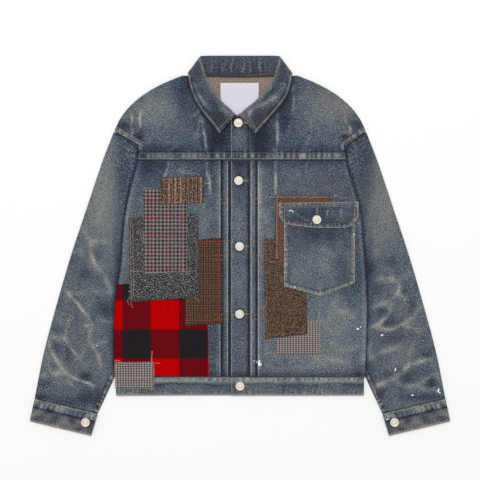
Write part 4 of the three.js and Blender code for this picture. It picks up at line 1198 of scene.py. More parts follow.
def glen_finish():
    f = Finish("brown glen check tweed")
    wide_x, wide_y = checks(f, 0, 34, 10), checks(f, 1, 34, 4)
    fine_x, fine_y = checks(f, 0, 5.2), checks(f, 1, 5.2)
    finer_x, finer_y = checks(f, 0, 2.6), checks(f, 1, 2.6)
    across = f.plus(f.times(wide_x, fine_x), f.times(f.minus(1, wide_x), finer_x))
    down = f.plus(f.times(wide_y, fine_y), f.times(f.minus(1, wide_y), finer_y))
    dark = f.times(f.plus(across, down), 0.5)
    nap = flecked(f, (420, 420))
    level = f.plus(f.times(dark, 0.46), f.times(nap, 0.46))
    colour = f.ramp(level, ((0.08, "967058"), (0.26, "6a5040"), (0.44, "48382f"), (0.62, "261f1c"),
                            (0.85, "131010")))
    colour = f.mix(f.times(stripe(f, 0, -46, 1.8), 0.5), colour, "6c2020")
    colour = f.mix(f.times(stripe(f, 0, -72, 1.8), 0.3), colour, "7c3020")
    return f.done(colour, 1.0, nap, 0.0006, 0.0, 0.03)


def charcoal_finish():
    f = Finish("charcoal tweed")
    speck = flecked(f, (480, 470), 1.4)
    speck = salted(f, speck, (640, 700), 0.4, math.radians(12))
    rib = f.noise((240, 700), 2, 0.6, math.radians(20))
    level = f.plus(speck, f.times(f.minus(rib, 0.5), 0.5))
    colour = f.ramp(level, ((0.12, "0f0f11"), (0.36, "232325"), (0.56, "3c3b3d"), (0.76, "6c6b6d"),
                            (0.98, "c0bdbb")))
    return f.done(colour, 1.0, speck, 0.0008, 0.0, 0.03)


def grey_check_finish():
    f = Finish("grey check with red and brown lines")
    thread = 0.975
    i, j = repeat_index(f, 0, thread), repeat_index(f, 1, thread)
    warp, weft = f.beat(f.times(i, 1 / 8)), f.beat(f.times(j, 1 / 8))
    above = f.beat(f.times(f.minus(i, j), 1 / 4))
    dark = f.plus(f.times(warp, above), f.times(weft, f.minus(1, above)))
    column = f.math("FRACT", f.times(repeat_index(f, 0, 8 * thread), 0.25))
    row = f.math("FRACT", f.plus(f.times(j, 1 / 36), 0.63))
    tone = f.mix(f.math("COMPARE", column, 0.5, 0.1), "121826", "3d261b")
    tone = f.mix(f.times(f.math("COMPARE", column, 0.0, 0.1), 0.85), tone, "640c18")
    nap = flecked(f, (440, 440), 0.7)
    colour = f.mix(dark, f.mix(nap, "4a4646", "a39e9c"), tone)
    red_row = f.times(f.math("LESS_THAN", row, 0.1), f.minus(1.0, above))
    colour = f.mix(f.times(red_row, 0.85), colour, "8f1826")
    return f.done(colour, 1.0, nap, 0.0006, 0.0, 0.03)


def striped_tweed_finish():
    f = Finish("brown striped tweed")
    speck = flecked(f, (330, 300))
    lines = f.times(f.plus(checks(f, 0, 8.4, 2), checks(f, 0, 4.2)), 0.5)
    level = f.plus(f.times(speck, 0.85), f.times(lines, 0.22))
    colour = f.ramp(level, ((0.18, "1a1615"), (0.42, "3a302c"), (0.66, "6c564c"), (0.92, "ab8e7d")))
    for place in (-148.5, -136, -124, -81.5):
        pale = f.mix(speck, "6f5145", "cfa28c")
        colour = f.mix(f.times(stripe(f, 0, place, 2.4), 0.8), colour, pale)
    return f.done(colour, 1.0, speck, 0.0008, 0.0, 0.03)


def small_check_finish(name, pitch_x, pitch_y, warm_line):
    f = Finish(name)
    across, down = checks(f, 0, pitch_x), checks(f, 1, pitch_y)
    both = f.times(across, down)
    nap = flecked(f, (460, 460), 0.8)
    third = f.beat(f.times(repeat_index(f, 0, pitch_x), 1 / 3), 0.1)
    pale = f.mix(nap, "7b726d", "c6bfba")
    pale = f.mix(f.times(f.times(across, third), 0.6), pale, warm_line)
    lines = f.times(f.minus(f.plus(across, down), both), 0.6)
    colour = f.mix(lines, pale, "4a4241")
    colour = f.mix(f.times(both, 0.98), colour, f.mix(nap, "121420", "353541"))
    return f.done(colour, 1.0, nap, 0.0007, 0.0, 0.03)


# Patches in the order they were sewn: name, slot, finish, and corners clockwise from the top left
RIGHT_PATCHES = [
    ("red_plaid", "wool_red", red_plaid_finish,
     [[-250, -81], [-70, -80], [-65.5, -274], [-258, -274]]),
    ("glen_check", "wool_brown", glen_finish,
     [[-114, 10], [-38, 16], [-37.5, -163], [-114, -168.5]]),
    ("charcoal", "wool_grey", charcoal_finish,
     [[-233, 57], [-88.5, 66.5], [-86.5, -108], [-231, -117]]),
    ("grey_check", "wool_check", grey_check_finish,
     [[-202.5, 118], [-111.5, 122], [-111.5, -54.5], [-202, -59]]),
    ("brown_stripe", "wool_brown", striped_tweed_finish,
     [[-165.5, 141.5], [-76.5, 144.5], [-77.5, 90], [-166.5, 86]]),
    ("hem_check", "wool_check",
     lambda: small_check_finish("pale check with navy and tan", 5.6, 4.9, "b98a6c"),
     [[-262, -246], [-181, -245.5], [-181.5, -300], [-261, -299.5]]),
]


def build_patch(name, finish, corners, below, seed):
    x, y = quad_grid(corners, seed=seed)
    if name == "red_plaid":
        left = -(rounded(SIDE_FOLD["right"])(y) + 0.1)
        share = (x - x[:, :1]) / (x[:, -1:] - x[:, :1])
        x = left + (x[:, -1:] - left) * share
    z = drape(x, y, below, WOOL)
    if name == "red_plaid":
        z[:, 0], z[:, 1] = 6.2, np.minimum(z[:, 1], 7.9)
        x[:, 0] -= 0.6
    z = z + 0.15 * np.sin(x / 7 + seed) * np.sin(y / 9)
    piece = laid(f"{name}_wool", x, y, z, WOOL, 0 * x, 0 * x, finish=finish())
    declare(piece, f"patch_{name}")
    return piece


right_patches = []
for seed, (name, slot, finish, corners) in enumerate(RIGHT_PATCHES):
    below = [fronts["right"], waistband] + right_patches
    right_patches.append(build_patch(name, finish, corners, below, seed + 3))

# ---- Woollen patches on the wearer's left
# A pale check, a dark brown herringbone over it, and a rust twill over that, partly under the pocket.
def dark_brown_finish():
    f = Finish("dark brown herringbone")
    x, y = f.plane()
    fold = f.math("PINGPONG", f.times(x, 1 / MM), 11)
    v = f.times(f.plus(fold, f.times(y, 1 / MM)), 1 / 3.6)
    line = f.beat(f.plus(v, OUTSIDE))
    speck = salted(f, flecked(f, (560, 520), 1.15), (880, 940), 0.5, math.radians(40))
    level = f.plus(f.times(speck, 0.85), f.times(line, 0.16))
    colour = f.ramp(level, ((0.2, "110d0c"), (0.44, "2d2420"), (0.64, "59473b"), (0.86, "b99a84")))
    return f.done(colour, 1.0, speck, 0.0008, 0.0, 0.03)


def rust_finish():
    f = Finish("rust twill wool")
    line = diagonal(f, 5.4, -0.9, 0.15)
    speck = flecked(f, (420, 420), 0.9)
    level = f.plus(f.times(speck, 0.50), f.times(line, 0.42))
    colour = f.ramp(level, ((0.1, "231715"), (0.36, "46312a"), (0.6, "6d4d41"), (0.9, "a18070")))
    return f.done(colour, 1.0, speck, 0.0007, 0.0, 0.03)


LEFT_PATCHES = [
    ("chest_check", "wool_check",
     lambda: small_check_finish("pale check with tan and navy", 5.8, 4.3, "c08f70"),
     [[76.5, -158], [168.5, -158.5], [166.5, -227], [77.5, -228.5]]),
    ("dark_brown", "wool_brown", dark_brown_finish,
     [[50.5, 15], [139.5, 15], [140.5, -185.5], [53, -196]]),
    ("rust", "wool_brown", rust_finish,
     [[74.5, 104], [193.5, 104], [193.5, -31], [73.5, -31]]),
]
left_patches = []
for seed, (name, slot, finish, corners) in enumerate(LEFT_PATCHES):
    below = [fronts["left"]] + left_patches
    left_patches.append(build_patch(name, finish, corners, below, seed + 21))

# ---- Chest pocket and flap
# A single layer of denim, its edge turned in and stitched twice, with a pointed foot. The flap above it is
# doubled, with round corners, and buttons down.
POCKET_TONE = 0.43
FLAP_TONE = 0.29
FLAP_CLOTH = 1.4
POCKET_TOP = 82
POCKET_FOOT = [[-85.5, 92], [-96, 131], [-106, 169.5], [-92.5, 205], [-79, 241]]
FLAP_TOP = [[89.5, 81.5], [92, 248]]
FLAP_FOOT = [[66, 81.5], [56, 84.5], [50, 89.5], [45.5, 97], [42.5, 108], [40, 130], [37.5, 150],
             [36.6, 185], [37, 217], [39.5, 228], [44, 237], [51, 243.5], [62, 248]]


def shaped_grid(left, right, top, foot, across, down):
    """Places between two lines, so many across and so many down."""
    u, v = np.meshgrid(np.linspace(left, right, across), np.linspace(1, 0, down))
    high, low = straight(top, u), straight(foot, u)
    return u, high + (low - high) * v


def edge_wear(x, y, path, inset):
    """Pale roping along a turned edge, between it and its inner row of stitches."""
    away, along, _ = near(x, y, path)
    band = plateau(away - inset / 2, inset / 1.6)
    return away, band * (0.5 + 0.7 * seam_rope(along, 0 * along, 9, 1.6))


def build_pocket():
    x, y = shaped_grid(92, 241, [[POCKET_TOP, 92], [POCKET_TOP, 241]], POCKET_FOOT, 63, 78)
    z = drape(x, y, [fronts["left"]] + left_patches, DENIM)
    path = [(92, 82), (92, -85.5), (169.5, -106), (241, -79), (241, 82)]
    away, band = edge_wear(x, y, path, 8)
    z = z + 0.35 * np.sin(x / 19) * np.sin(y / 27) + 0.25 * band
    # Broad zones of the pocket, the first of them painted shadow under the flap.
    zones = [(166, 26, 60, 26, -0.24), (170, -30, 34, 50, 0.10), (120, -60, 16, 30, 0.08),
             (215, -50, 14, 40, -0.10), (104, -20, 8, 60, -0.06)]
    wear_and_shade = spots(x, y, POCKET_TONE, zones)
    wear_and_shade += 0.24 * band + 0.22 * bell(away, 1.3) - 0.26 * bell(away - 9.5, 1.6)
    marks = [([(102, 30), (101, -60)], 4, 0.16, 0), ([(186, -40), (186, -60)], 3, 0.16, 0),
             ([(168, -84), (168, -100)], 2.5, 0.25, 0), ([(231, 20), (230, -60)], 4, 0.12, 0)]
    wear_and_shade += creased(x, y, marks)[0]
    warm = 0.08 + 0.2 * bell(away, 1.5) + 0 * x
    piece = laid("chest_pocket", x, y, z, DENIM, wear_and_shade, warm)
    declare(piece, "pocket")
    return piece


pocket = build_pocket()
FLAP_EDGE = [(81.5, 89.5)] + [(x, y) for y, x in FLAP_FOOT] + [(248, 92)]


def build_flap():
    x, y = shaped_grid(81.5, 248, FLAP_TOP, FLAP_FOOT, 84, 26)
    z = drape(x, y, [fronts["left"], pocket] + left_patches, FLAP_CLOTH, 0.3, 3)
    away, band = edge_wear(x, y, FLAP_EDGE, 8)
    top_band = plateau(y - 86, 4) * (0.7 + 0.5 * seam_rope(x, 0 * x, 9, 1.5))
    z = z + 0.3 * np.sin(x / 15 + 1) + 0.3 * band
    zones = [(100, 70, 14, 14, 0.16), (215, 66, 26, 12, 0.14), (150, 60, 20, 12, -0.05)]
    wear_and_shade = spots(x, y, FLAP_TONE, zones)
    wear_and_shade += 0.26 * band + 0.24 * top_band + 0.36 * bell(away, 1.4)
    wear_and_shade += 0.24 * bell(y - 90.5, 1.4) - 0.2 * bell(away - 9.5, 1.8)
    marks = [([(108, 72), (128, 60), (146, 50)], 1.8, 0.35, 0), ([(184, 76), (182, 60)], 2.4, 0.4, 0),
             ([(212, 78), (212, 58)], 2.6, 0.35, 0), ([(196, 74), (190, 60)], 2, 0.14, 0)]
    wear_and_shade += creased(x, y, marks)[0]
    warm = 0.06 + 0.25 * bell(away, 1.5)
    piece = laid("pocket_cover", x, y, z, FLAP_CLOTH, wear_and_shade, warm, rim=0.4)
    declare(piece, "pocket_flap")
    return piece


flap = build_flap()

# ---- Shank buttons
# Pressed metal caps, each with an ivory rim, a worn gilt ring and a pale enamel centre, on a short neck
# through the cloth. They are spun round their own axis and sit on the cloth under them.
def button_metal():
    f = Finish("worn gilt rim")
    f.shader.inputs["Metallic"].default_value = 0.55
    worn = f.noise((300, 300), 3)
    return f.done(f.mix(worn, "bfa888", "e9dcc6"), 0.38)


def button_enamel():
    f = Finish("pale enamel centre")
    cloud = f.noise((260, 260), 2)
    return f.done(f.mix(cloud, "c4c2be", "e2e0dc"), 0.34)


def button_edge():
    f = Finish("ivory rim")
    return f.done(f.mix(f.noise((200, 200), 2), "d6d0c6", "f0ece5"), 0.4)


GILT, ENAMEL, IVORY = button_metal(), button_enamel(), button_edge()
CENTRE_REACH, RING_REACH, CAP_LEVEL = 4.6, 6.9, 1.5
# The button's outline from its neck out over the rim to the centre: radius and height in millimetres
BUTTON_RINGS = [(0, 0), (3.0, 0), (3.0, 0.8), (8.2, 0.8), (9.0, 1.3), (9.15, 1.8), (8.8, 2.5), (8.0, 2.9),
                (7.0, 2.8), (6.2, 2.2), (5.9, 2.1), (5.0, 2.35), (3.4, 2.55), (1.6, 2.65), (0, 2.7)]


def build_button(node):
    low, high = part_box(node)
    centre = (Vector(low) + Vector(high)) / 2
    x, y = centre.x / MM, centre.y / MM
    made = bmesh.new()
    ring = [made.verts.new((r * MM, 0, h * MM)) for r, h in BUTTON_RINGS]
    for a, b in zip(ring, ring[1:]):
        made.edges.new((a, b))
    bmesh.ops.spin(made, geom=made.verts[:] + made.edges[:], cent=(0, 0, 0), axis=(0, 0, 1),
                   angle=2 * math.pi, steps=40, use_merge=True)
    bmesh.ops.remove_doubles(made, verts=made.verts, dist=1e-6)
    bmesh.ops.recalc_face_normals(made, faces=made.faces)
    for face in made.faces:
        middle = face.calc_center_median()
        reach = math.hypot(middle.x, middle.y) / MM
        if middle.z < CAP_LEVEL * MM or CENTRE_REACH <= reach < RING_REACH:
            face.material_index = 0
        else:
            face.material_index = 1 if reach < CENTRE_REACH else 2
        face.smooth = True
    lift = all_cloth(x, y) + 0.25
    bmesh.ops.translate(made, verts=made.verts, vec=(x * MM, y * MM, float(lift) * MM))
    mesh = bpy.data.meshes.new(node)
    made.to_mesh(mesh)
    made.free()
    mesh.uv_layers.new(name="UVMap")
    for finish in (GILT, ENAMEL, IVORY):
        mesh.materials.append(finish)
    piece = placed(f"shank_{node}", mesh)
    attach(piece, "root")
    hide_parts(node)


BUTTON_NODES = ["button_neck", "button_chest", "button_middle", "button_lower", "button_waist",
                "button_pocket", "button_cuff_right", "button_cuff_left"]
CLOTH_PIECES = ([back, waistband, collar, label, pocket, flap] + right_patches + left_patches
                + [group[side] for group in (sleeves, cuffs, fronts, yokes) for side in SIDES])
all_cloth = surface(CLOTH_PIECES)
for node in BUTTON_NODES:
    build_button(node)

# ---- Seam stitching
# Heavy cotton thread in beige, orange and brown, as short raised stitches along every seam and edge, with
# bar tacks across the pleats and close overcast stitches round the buttonholes.
def thread_bead():
    """One stitch of thread, a unit long, wide and high, as triangles."""
    made = bmesh.new()
    bmesh.ops.create_uvsphere(made, u_segments=6, v_segments=4, radius=0.5)
    bmesh.ops.rotate(made, verts=made.verts, matrix=Matrix.Rotation(math.pi / 2, 3, "Y"))
    bmesh.ops.triangulate(made, faces=made.faces)
    made.verts.ensure_lookup_table()
    places = np.array([v.co for v in made.verts])
    faces = np.array([[v.index for v in face.verts] for face in made.faces])
    made.free()
    return places, faces


BEAD = thread_bead()


def thread_finish(name, dark, light):
    f = Finish(name, own_plane=False)
    fibre = f.noise((900, 900), 2)
    return f.done(f.mix(fibre, dark, light), 0.9, fibre, 0.0002, 0.05)


def strew(name, finish, marks, sunk=0.1):
    """One joined mesh of short thread beads. A mark is its two ends in millimetres, width and height."""
    marks = np.array(marks, float)
    start, end, width, high = marks[:, 0:2], marks[:, 2:4], marks[:, 4], marks[:, 5]
    low, far = all_cloth(start[:, 0], start[:, 1]), all_cloth(end[:, 0], end[:, 1])
    steep = np.abs(low - far) > 0.6 * np.hypot(*(end - start).T)
    top = np.maximum(low, far)
    low, far = np.where(steep, top, low), np.where(steep, top, far)
    lift = (0.5 - sunk) * high
    a = np.column_stack([start, low + lift])
    b = np.column_stack([end, far + lift])
    along = b - a
    length = np.linalg.norm(along, axis=1)[:, None]
    ahead = along / length
    side = np.cross([0, 0, 1], ahead)
    side /= np.linalg.norm(side, axis=1)[:, None]
    up = np.cross(ahead, side)
    places, faces = BEAD
    beads = ((a + b)[:, None] / 2 + places[None, :, :1] * (length * ahead)[:, None]
             + places[None, :, 1:2] * (width[:, None] * side)[:, None]
             + places[None, :, 2:] * (high[:, None] * up)[:, None])
    joined = faces[None] + (np.arange(len(marks)) * len(places))[:, None, None]
    mesh = bpy.data.meshes.new(name)
    mesh.from_pydata((beads.reshape(-1, 3) * MM).tolist(), [], joined.reshape(-1, 3).tolist())
    mesh.shade_smooth()
    mesh.materials.append(finish)
    piece = placed(name, mesh)
    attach(piece, "root")


def along_path(path, pitch, wander=0.0, seed=0):
    """Places and directions at even steps along a path, wandering a little off it."""
    path = np.array(path, float)
    run = run_along(path)
    at = np.arange(pitch / 2, run[-1], pitch)
    on_path = lambda where: np.stack([np.interp(where, run, path[:, k]) for k in (0, 1)], axis=1)
    place = on_path(at)
    ahead = on_path(at + 0.6) - on_path(at - 0.6)
    ahead /= np.maximum(np.hypot(*ahead.T), 1e-6)[:, None]
    rng = np.random.default_rng(seed + int(1000 * run[-1]) % 997)
    return place + rng.normal(0, 1, place.shape) * wander, ahead, rng


def run_stitch(path, pitch=3.3, length=2.7, width=1.15, wander=0.1, gaps=0.03):
    """Lockstitches in a row, a few of them worn away."""
    place, ahead, rng = along_path(path, pitch, wander)
    reach = length * rng.uniform(0.86, 1.08, len(place))[:, None] / 2
    a, b = place - ahead * reach, place + ahead * reach
    kept = rng.random(len(place)) > gaps
    return [[*p, *q, width, width * 0.62] for p, q, keep in zip(a, b, kept) if keep]


def cross_stitch(path, pitch, length, width, lean=0.0, shake=0.2, off=0.0):
    """Stitches laid across a path, leaning forwards, as in overcasting and buttonholes."""
    place, ahead, rng = along_path(path, pitch)
    side = np.stack([-ahead[:, 1], ahead[:, 0]], axis=1)
    way = side + ahead * (lean + rng.normal(0, shake, len(place)))[:, None]
    way /= np.hypot(*way.T)[:, None]
    reach = length * rng.uniform(0.8, 1.15, len(place))[:, None] / 2
    place = place + side * off
    return [[*p, *q, width, width * 0.6] for p, q in zip(place - way * reach, place + way * reach)]


def rows_of(stitch, rows):
    """The marks of several rows in one stitch: each row is a path and that stitch's own measures."""
    return [mark for path, *measures in rows for mark in stitch(path, *measures)]


BEIGE = thread_finish("beige cotton thread", "a08c76", "cdb79d")
FADED = thread_finish("faded thread", "75695c", "97897a")
ORANGE = thread_finish("orange cotton thread", "8f5c38", "bb7e50")
BROWN = thread_finish("brown cotton thread", "4a3830", "73594b")
LOOP = thread_finish("buttonhole thread", "765a4d", "a48371")

collar_edge = [(x, y) for x, y, z in COLLAR_LINES[:, -2] if z > 8.2]
collar_right = [p for p in collar_edge if p[0] < 0]
collar_left = [p for p in collar_edge if p[0] > 0]
collar_tips = [[tuple(p[:2]) for p in COLLAR_LINES[row, 20::2]] for row in (3, -4)]

POCKET_OUTLINE = [(93.8, -84), (169.5, -104), (239.3, -77.5), (239.3, 80)]
POCKET_INNER = [(102, 40), (102.3, -77), (169.3, -95), (231, -71), (231, 40)]
FLAP_OUTLINE = [(82.9, 88), (82.9, 67), (86, 57.5), (91, 51.5), (98, 46.8), (108, 44), (130, 41.4), (150, 39),
                (185, 38), (216, 38.4), (228, 41), (236, 45.4), (242.2, 52), (246.4, 62.5), (246.6, 90)]
FLAP_INNER = [(88.5, 78), (91, 64), (96, 57.5), (103, 52.5), (120, 51), (136, 50), (152, 46.5), (176, 45.2),
              (208, 46.5), (226, 49.5), (234, 57), (239.5, 65), (240, 79)]

beige_rows = (
    run_stitch([(-212, 181.6), (-21, 181.6)]) + run_stitch([(-19, 181.6), (221, 181.8)])
    + run_stitch([(-262.5, 240.2), (-211, 211.6)]) + run_stitch([(262.5, 239.4), (220, 209.6)])
    + run_stitch([(-17.6, 266), (-18, 182)], 3.0) + run_stitch([(-17.8, 177), (-17.8, -274)], 3.0)
    + run_stitch([(-19, -277.5), (258, -277.5)]) + run_stitch([(-258, -277.5), (-21, -277.5)])
    + run_stitch([(-17.4, -278), (-17.4, -311)], 3.0)
    + run_stitch([(93.4, 80), (93.4, -85)]) + run_stitch(POCKET_OUTLINE)
    + run_stitch([(83, 88.4), (246.5, 90.6)]) + run_stitch(FLAP_OUTLINE)
)
orange_rows = (
    run_stitch([(-258.5, 249), (-210.5, 218)]) + run_stitch([(258, 249), (217, 217.5)])
    + run_stitch([(85, 80.2), (244, 81.4)], width=1.0)
    + run_stitch(FLAP_INNER, width=0.95) + run_stitch([(8, 356.6), (70, 359.6)], 3.0, 2.7, 1.3)
    + run_stitch([(22, 98), (38, 98)], 2.2, 2.1, 1.5)
)
tan_edges = (run_stitch(collar_right, 3.0, 2.8, 0.9, 0.05) + run_stitch(collar_left, 3.0, 2.8, 0.9, 0.05)
             + sum((run_stitch(tip, 3.0, 2.6, 0.9, 0.05) for tip in collar_tips), []))
faded_rows = (
    run_stitch([(-210, 194), (-21, 194)]) + run_stitch([(-19, 194), (219, 194)])
    + run_stitch([(20.5, 266), (20.5, 182)]) + run_stitch(POCKET_INNER, width=0.95)
    + run_stitch([(-258, -310.4), (-21, -310.4)]) + run_stitch([(-16, -310.4), (258, -310.4)])
)
brown_rows = (
    run_stitch([(-73, 358.6), (-40, 356.6), (4, 356.2)], 3.0)
    + run_stitch([(-72, 354.6), (0, 352.6), (70, 355.2)], 3.0)
    + run_stitch([(20, 176), (20, -274)], width=0.9)
)
tacks = []
for level in (97, 88.5, -21, -30, -144.5, -154.5):
    for start, stop in ((-54, -23), (22, 50)):
        tacks += run_stitch([(start, level), (stop, level)], 2.6, 2.4, 1.2)

for side, sign in SIDES.items():
    top_edge = [(sign * 429.5, -324), (sign * 299.8, -355)]
    low_edge = [(sign * 439, -364.8), (sign * 313.5, -395)]
    beige_rows += run_stitch(top_edge) + run_stitch(low_edge)
    faded_rows += run_stitch([(sign * 431.5, -333), (sign * 302.5, -364)])
    for inset, rows in ((2.2, beige_rows), (10.5, faded_rows)):
        rows += run_stitch([(sign * (261.5 + inset), -262), (sign * (279 + inset), -303),
                            (sign * (297 + inset), -349)], width=1.0)

# Buttonholes of the front: level, and the ends of the hole, which widens round the button's neck
holes = []
for level, start, stop in ((136, 7, 18), (-2, 8, 18), (-144, 8, 18), (-295, 9, 17), (257, 6, 16)):
    holes += cross_stitch([(start, level), (start + 5, level)], 0.75, 5.0, 0.8, 0, 0.08)
    holes += cross_stitch([(start + 5, level), (stop, level)], 0.75, 3.6, 0.8, 0, 0.08)
for hole in ([(160.8, 80), (162, 66)], [(-328, -372), (-342, -369)], [(328, -372), (342, -369)]):
    holes += cross_stitch(hole, 0.75, 3.9, 0.8, 0, 0.08)

strew("beige_seam_stitches", BEIGE, beige_rows)
strew("orange_seam_stitches", ORANGE, orange_rows)
strew("collar_edge_stitches", BEIGE, tan_edges)
strew("faded_seam_stitches", FADED, faded_rows)
strew("brown_seam_stitches", BROWN, brown_rows)
strew("pleat_bar_tacks", ORANGE, tacks)
strew("buttonhole_stitches", LOOP, holes)

# ---- Mending stitches and frayed edges
# The patches are sewn on by hand, with running stitches inside their edges and whipped ones over them, in
# five colours of thread. The cut edges fray, loose ends hang on, and a few drops of white paint have dried.
RED = thread_finish("red mending thread", "8e0d16", "c61f2a")
BLACK = thread_finish("black mending thread", "15161a", "33353c")
CREAM = thread_finish("cream mending thread", "a79c90", "d8cfc4")
PLUM = thread_finish("plum mending thread", "4a0a2a", "74284a")
PINK = thread_finish("pink beige mending thread", "94766a", "c8a696")

# Rows of mending: path, pitch, length and width of a stitch, how it wanders, and how many have gone
red_mends = rows_of(run_stitch, [
    ([(-86, 6), (-60, 7.2), (-43.5, 9)], 3.6, 3.0, 1.5),
    ([(-42, 9.4), (-20, 10.2)], 4.4, 2.8, 1.0),
    ([(-104, -163), (-66, -161), (-40, -159.4)], 3.8, 3.0, 1.4),
    ([(-38, -159.6), (-21, -159.8)], 4.4, 2.6, 0.9),
    ([(-43.2, 6), (-42.8, -156)], 5.2, 2.8, 0.9, 0.2),
    ([(-66, -76), (-68, -176)], 6.5, 2.4, 0.8, 0.3),
]) + cross_stitch([(-67, -176), (-64.4, -272)], 4.2, 3.2, 1.0, 0.2, 0.3)
beige_mends = rows_of(run_stitch, [
    ([(-230, 55), (-227.5, -115)], 3.6, 2.8, 0.9, 0.2),
    ([(-225, 55), (-222.8, -114)], 3.6, 2.8, 0.8, 0.2),
    ([(-229, -54), (-203, -54.5)], 4.6, 3.4, 1.1, 0.3),
    ([(-200, -57.5), (-97, -53)], 5.4, 4.2, 1.3, 0.35),
    ([(-108, 60), (-92, 62)], 4.2, 3.2, 1.0, 0.3),
    ([(-119, -42), (-119, -73)], 4.0, 3.0, 1.1, 0.3),
    ([(-74, 130), (-62, 130)], 6.0, 5.8, 1.1, 0.1, 0),
    ([(-74, 107.5), (-62, 107.5)], 6.0, 5.8, 1.1, 0.1, 0),
    ([(53, 101), (73, 101)], 5.0, 4.4, 0.9, 0.2, 0),
    ([(54, -226), (75, -226)], 4.6, 3.8, 1.0, 0.2, 0),
    ([(166, -220), (191, -218)], 4.6, 3.8, 0.9, 0.2, 0),
    ([(165.4, -134), (165.4, -244)], 4.6, 3.8, 1.0, 0.3),
    ([(-184.6, -222), (-184.6, -299)], 4.4, 3.6, 1.1, 0.4),
    ([(196, 102), (222, 100), (236, 96)], 5.2, 2.6, 1.2, 0.5),
])
pink_mends = rows_of(run_stitch, [
    ([(77.6, 102), (77.2, -30)], 4.2, 3.6, 2.0, 0.3),
    ([(78, 101.4), (192, 101.4)], 4.4, 3.6, 1.8, 0.3),
    ([(86, 86), (86, -30)], 6.2, 2.2, 0.9, 0.3),
    ([(-163, 88.5), (-80, 92)], 4.4, 3.4, 0.9, 0.3),
    ([(-163, 139), (-80, 142)], 4.6, 3.2, 0.9, 0.3),
    ([(54, 10), (56, -186)], 5.0, 2.6, 1.0, 0.4),
    ([(56, -188), (138, -180)], 5.0, 3.0, 1.0, 0.4),
    ([(60, -34), (100, -32)], 4.6, 3.2, 1.3, 0.5),
])
# Whipped rows of the black thread: path, pitch, length, width, lean, how uneven, and how far off the path
black_mends = rows_of(cross_stitch, [
    ([(-64, -170), (-60, -268)], 5.4, 9.5, 0.9, 0.1, 0.15, 2.0),
    ([(-166, 142), (-76, 145)], 3.4, 4.0, 1.0, 0.3, 0.3),
    ([(-76.5, 145), (-77.5, 90)], 3.4, 4.0, 1.0, 0.3, 0.3),
    ([(-233, 57), (-204, 58.5)], 3.0, 3.6, 1.0, 0.3, 0.3),
    ([(-111, 65), (-88.5, 66.5)], 3.0, 3.8, 1.0, 0.3, 0.3),
    ([(-88.5, 66), (-86.5, -108)], 3.4, 3.6, 0.9, 0.3, 0.3),
])
black_mends += run_stitch([(-112, -164), (-40, -161.5)], 3.0, 2.4, 1.6, 0.3)
black_mends += cross_stitch([(-86, 11), (-38, 16)], 3.0, 3.4, 1.0, 0.3, 0.3)
black_mends += run_stitch([(198, 98), (236, 92)], 5.2, 2.4, 1.1, 0.5)
plum_mends = rows_of(run_stitch, [
    ([(-156, -114), (-160, -140), (-165, -169)], 4.0, 3.4, 0.8, 0.2),
    ([(-143, -114), (-142, -136), (-138, -153)], 4.0, 3.4, 0.8, 0.2),
])

# Loose ends: each is a wandering line of overlapping beads
LOOSE_ENDS = [
    [(-128, 158), (-116, 152), (-98, 151), (-85, 149)], [(-209, 24), (-206, 15), (-204, 3)],
    [(-229, -119), (-228, -124), (-225, -130)],
    [(-178, -248), (-173, -246), (-168, -247)], [(-186, -244), (-186, -236), (-183, -222)],
    [(-190, -299), (-184, -302), (-180, -300)],
    [(235, 215), (240, 211), (244, 209)], [(-211, 97), (-206, 94), (-203, 88)],
    [(-204, 30), (-201, 22), (-203, 12), (-199, 4)],
    [(-97, -108), (-90, -112), (-86, -118)], [(-232, -108), (-236, -116), (-233, -124)],
    [(-81, 88), (-76, 84), (-72, 86)],
    [(-150, -58), (-147, -66), (-140, -68)], [(-118, -52), (-113, -60), (-105, -58)],
    [(-264, -244), (-258, -240), (-250, -243)],
    [(140, -186), (144, -192), (150, -190)], [(168, -160), (173, -156), (178, -158)],
    [(194, 102), (199, 106), (205, 104)],
]
cream_ends = []
for path in LOOSE_ENDS:
    cream_ends += run_stitch(path, 1.1, 1.9, 0.55, 0.05, 0)


def frayed(corners, seed, reach=3.2, pitch=1.3):
    """Short ends of yarn along the cut edges of a patch."""
    marks = []
    for start, end in zip(corners, corners[1:] + corners[:1]):
        place, ahead, rng = along_path([start, end], pitch, 0.5, seed)
        lean = rng.normal(0, 0.5, len(place))[:, None]
        out = np.stack([-ahead[:, 1], ahead[:, 0]], axis=1) + ahead * lean
        length = reach * rng.uniform(0.3, 1.1, len(place))[:, None]
        roots, tips = place - out * length * 0.4, place + out * length * 0.6
        marks += [[*p, *q, 0.45, 0.4] for p, q in zip(roots, tips)]
    return marks


# Frayed yarn of each patch: dark colour, light colour, length
FRAY = {
    "red_plaid": ("3c050b", "8e0d14", 2.0),
    "glen_check": ("2f2620", "6a5140", 2.4),
    "charcoal": ("2a2a2c", "8a888a", 3.2),
    "grey_check": ("6e6c74", "b9b5bb", 2.6),
    "brown_stripe": ("2e2420", "95796a", 3.0),
    "hem_check": ("8e8782", "d4cdc7", 4.2),
    "chest_check": ("857c76", "c8bfb8", 3.6),
    "dark_brown": ("2b231f", "8c7262", 2.6),
    "rust": ("4a322a", "9a7666", 2.2),
}
POCKET_COVERS = [[(92, 82), (241, 82), (241, -79), (169.5, -106), (92, -85.5)],
                 [(81.5, 89.5), (248, 92), (248, 45), (90, 45)]]


def hidden(mark, covers):
    """Whether a mark lies under one of the outlines, whose corners run clockwise."""
    x, y = (mark[0] + mark[2]) / 2, (mark[1] + mark[3]) / 2
    for corners in covers:
        sides = zip(corners, corners[1:] + corners[:1])
        if max((bx - ax) * (y - ay) - (by - ay) * (x - ax) for (ax, ay), (bx, by) in sides) < 0:
            return True
    return False


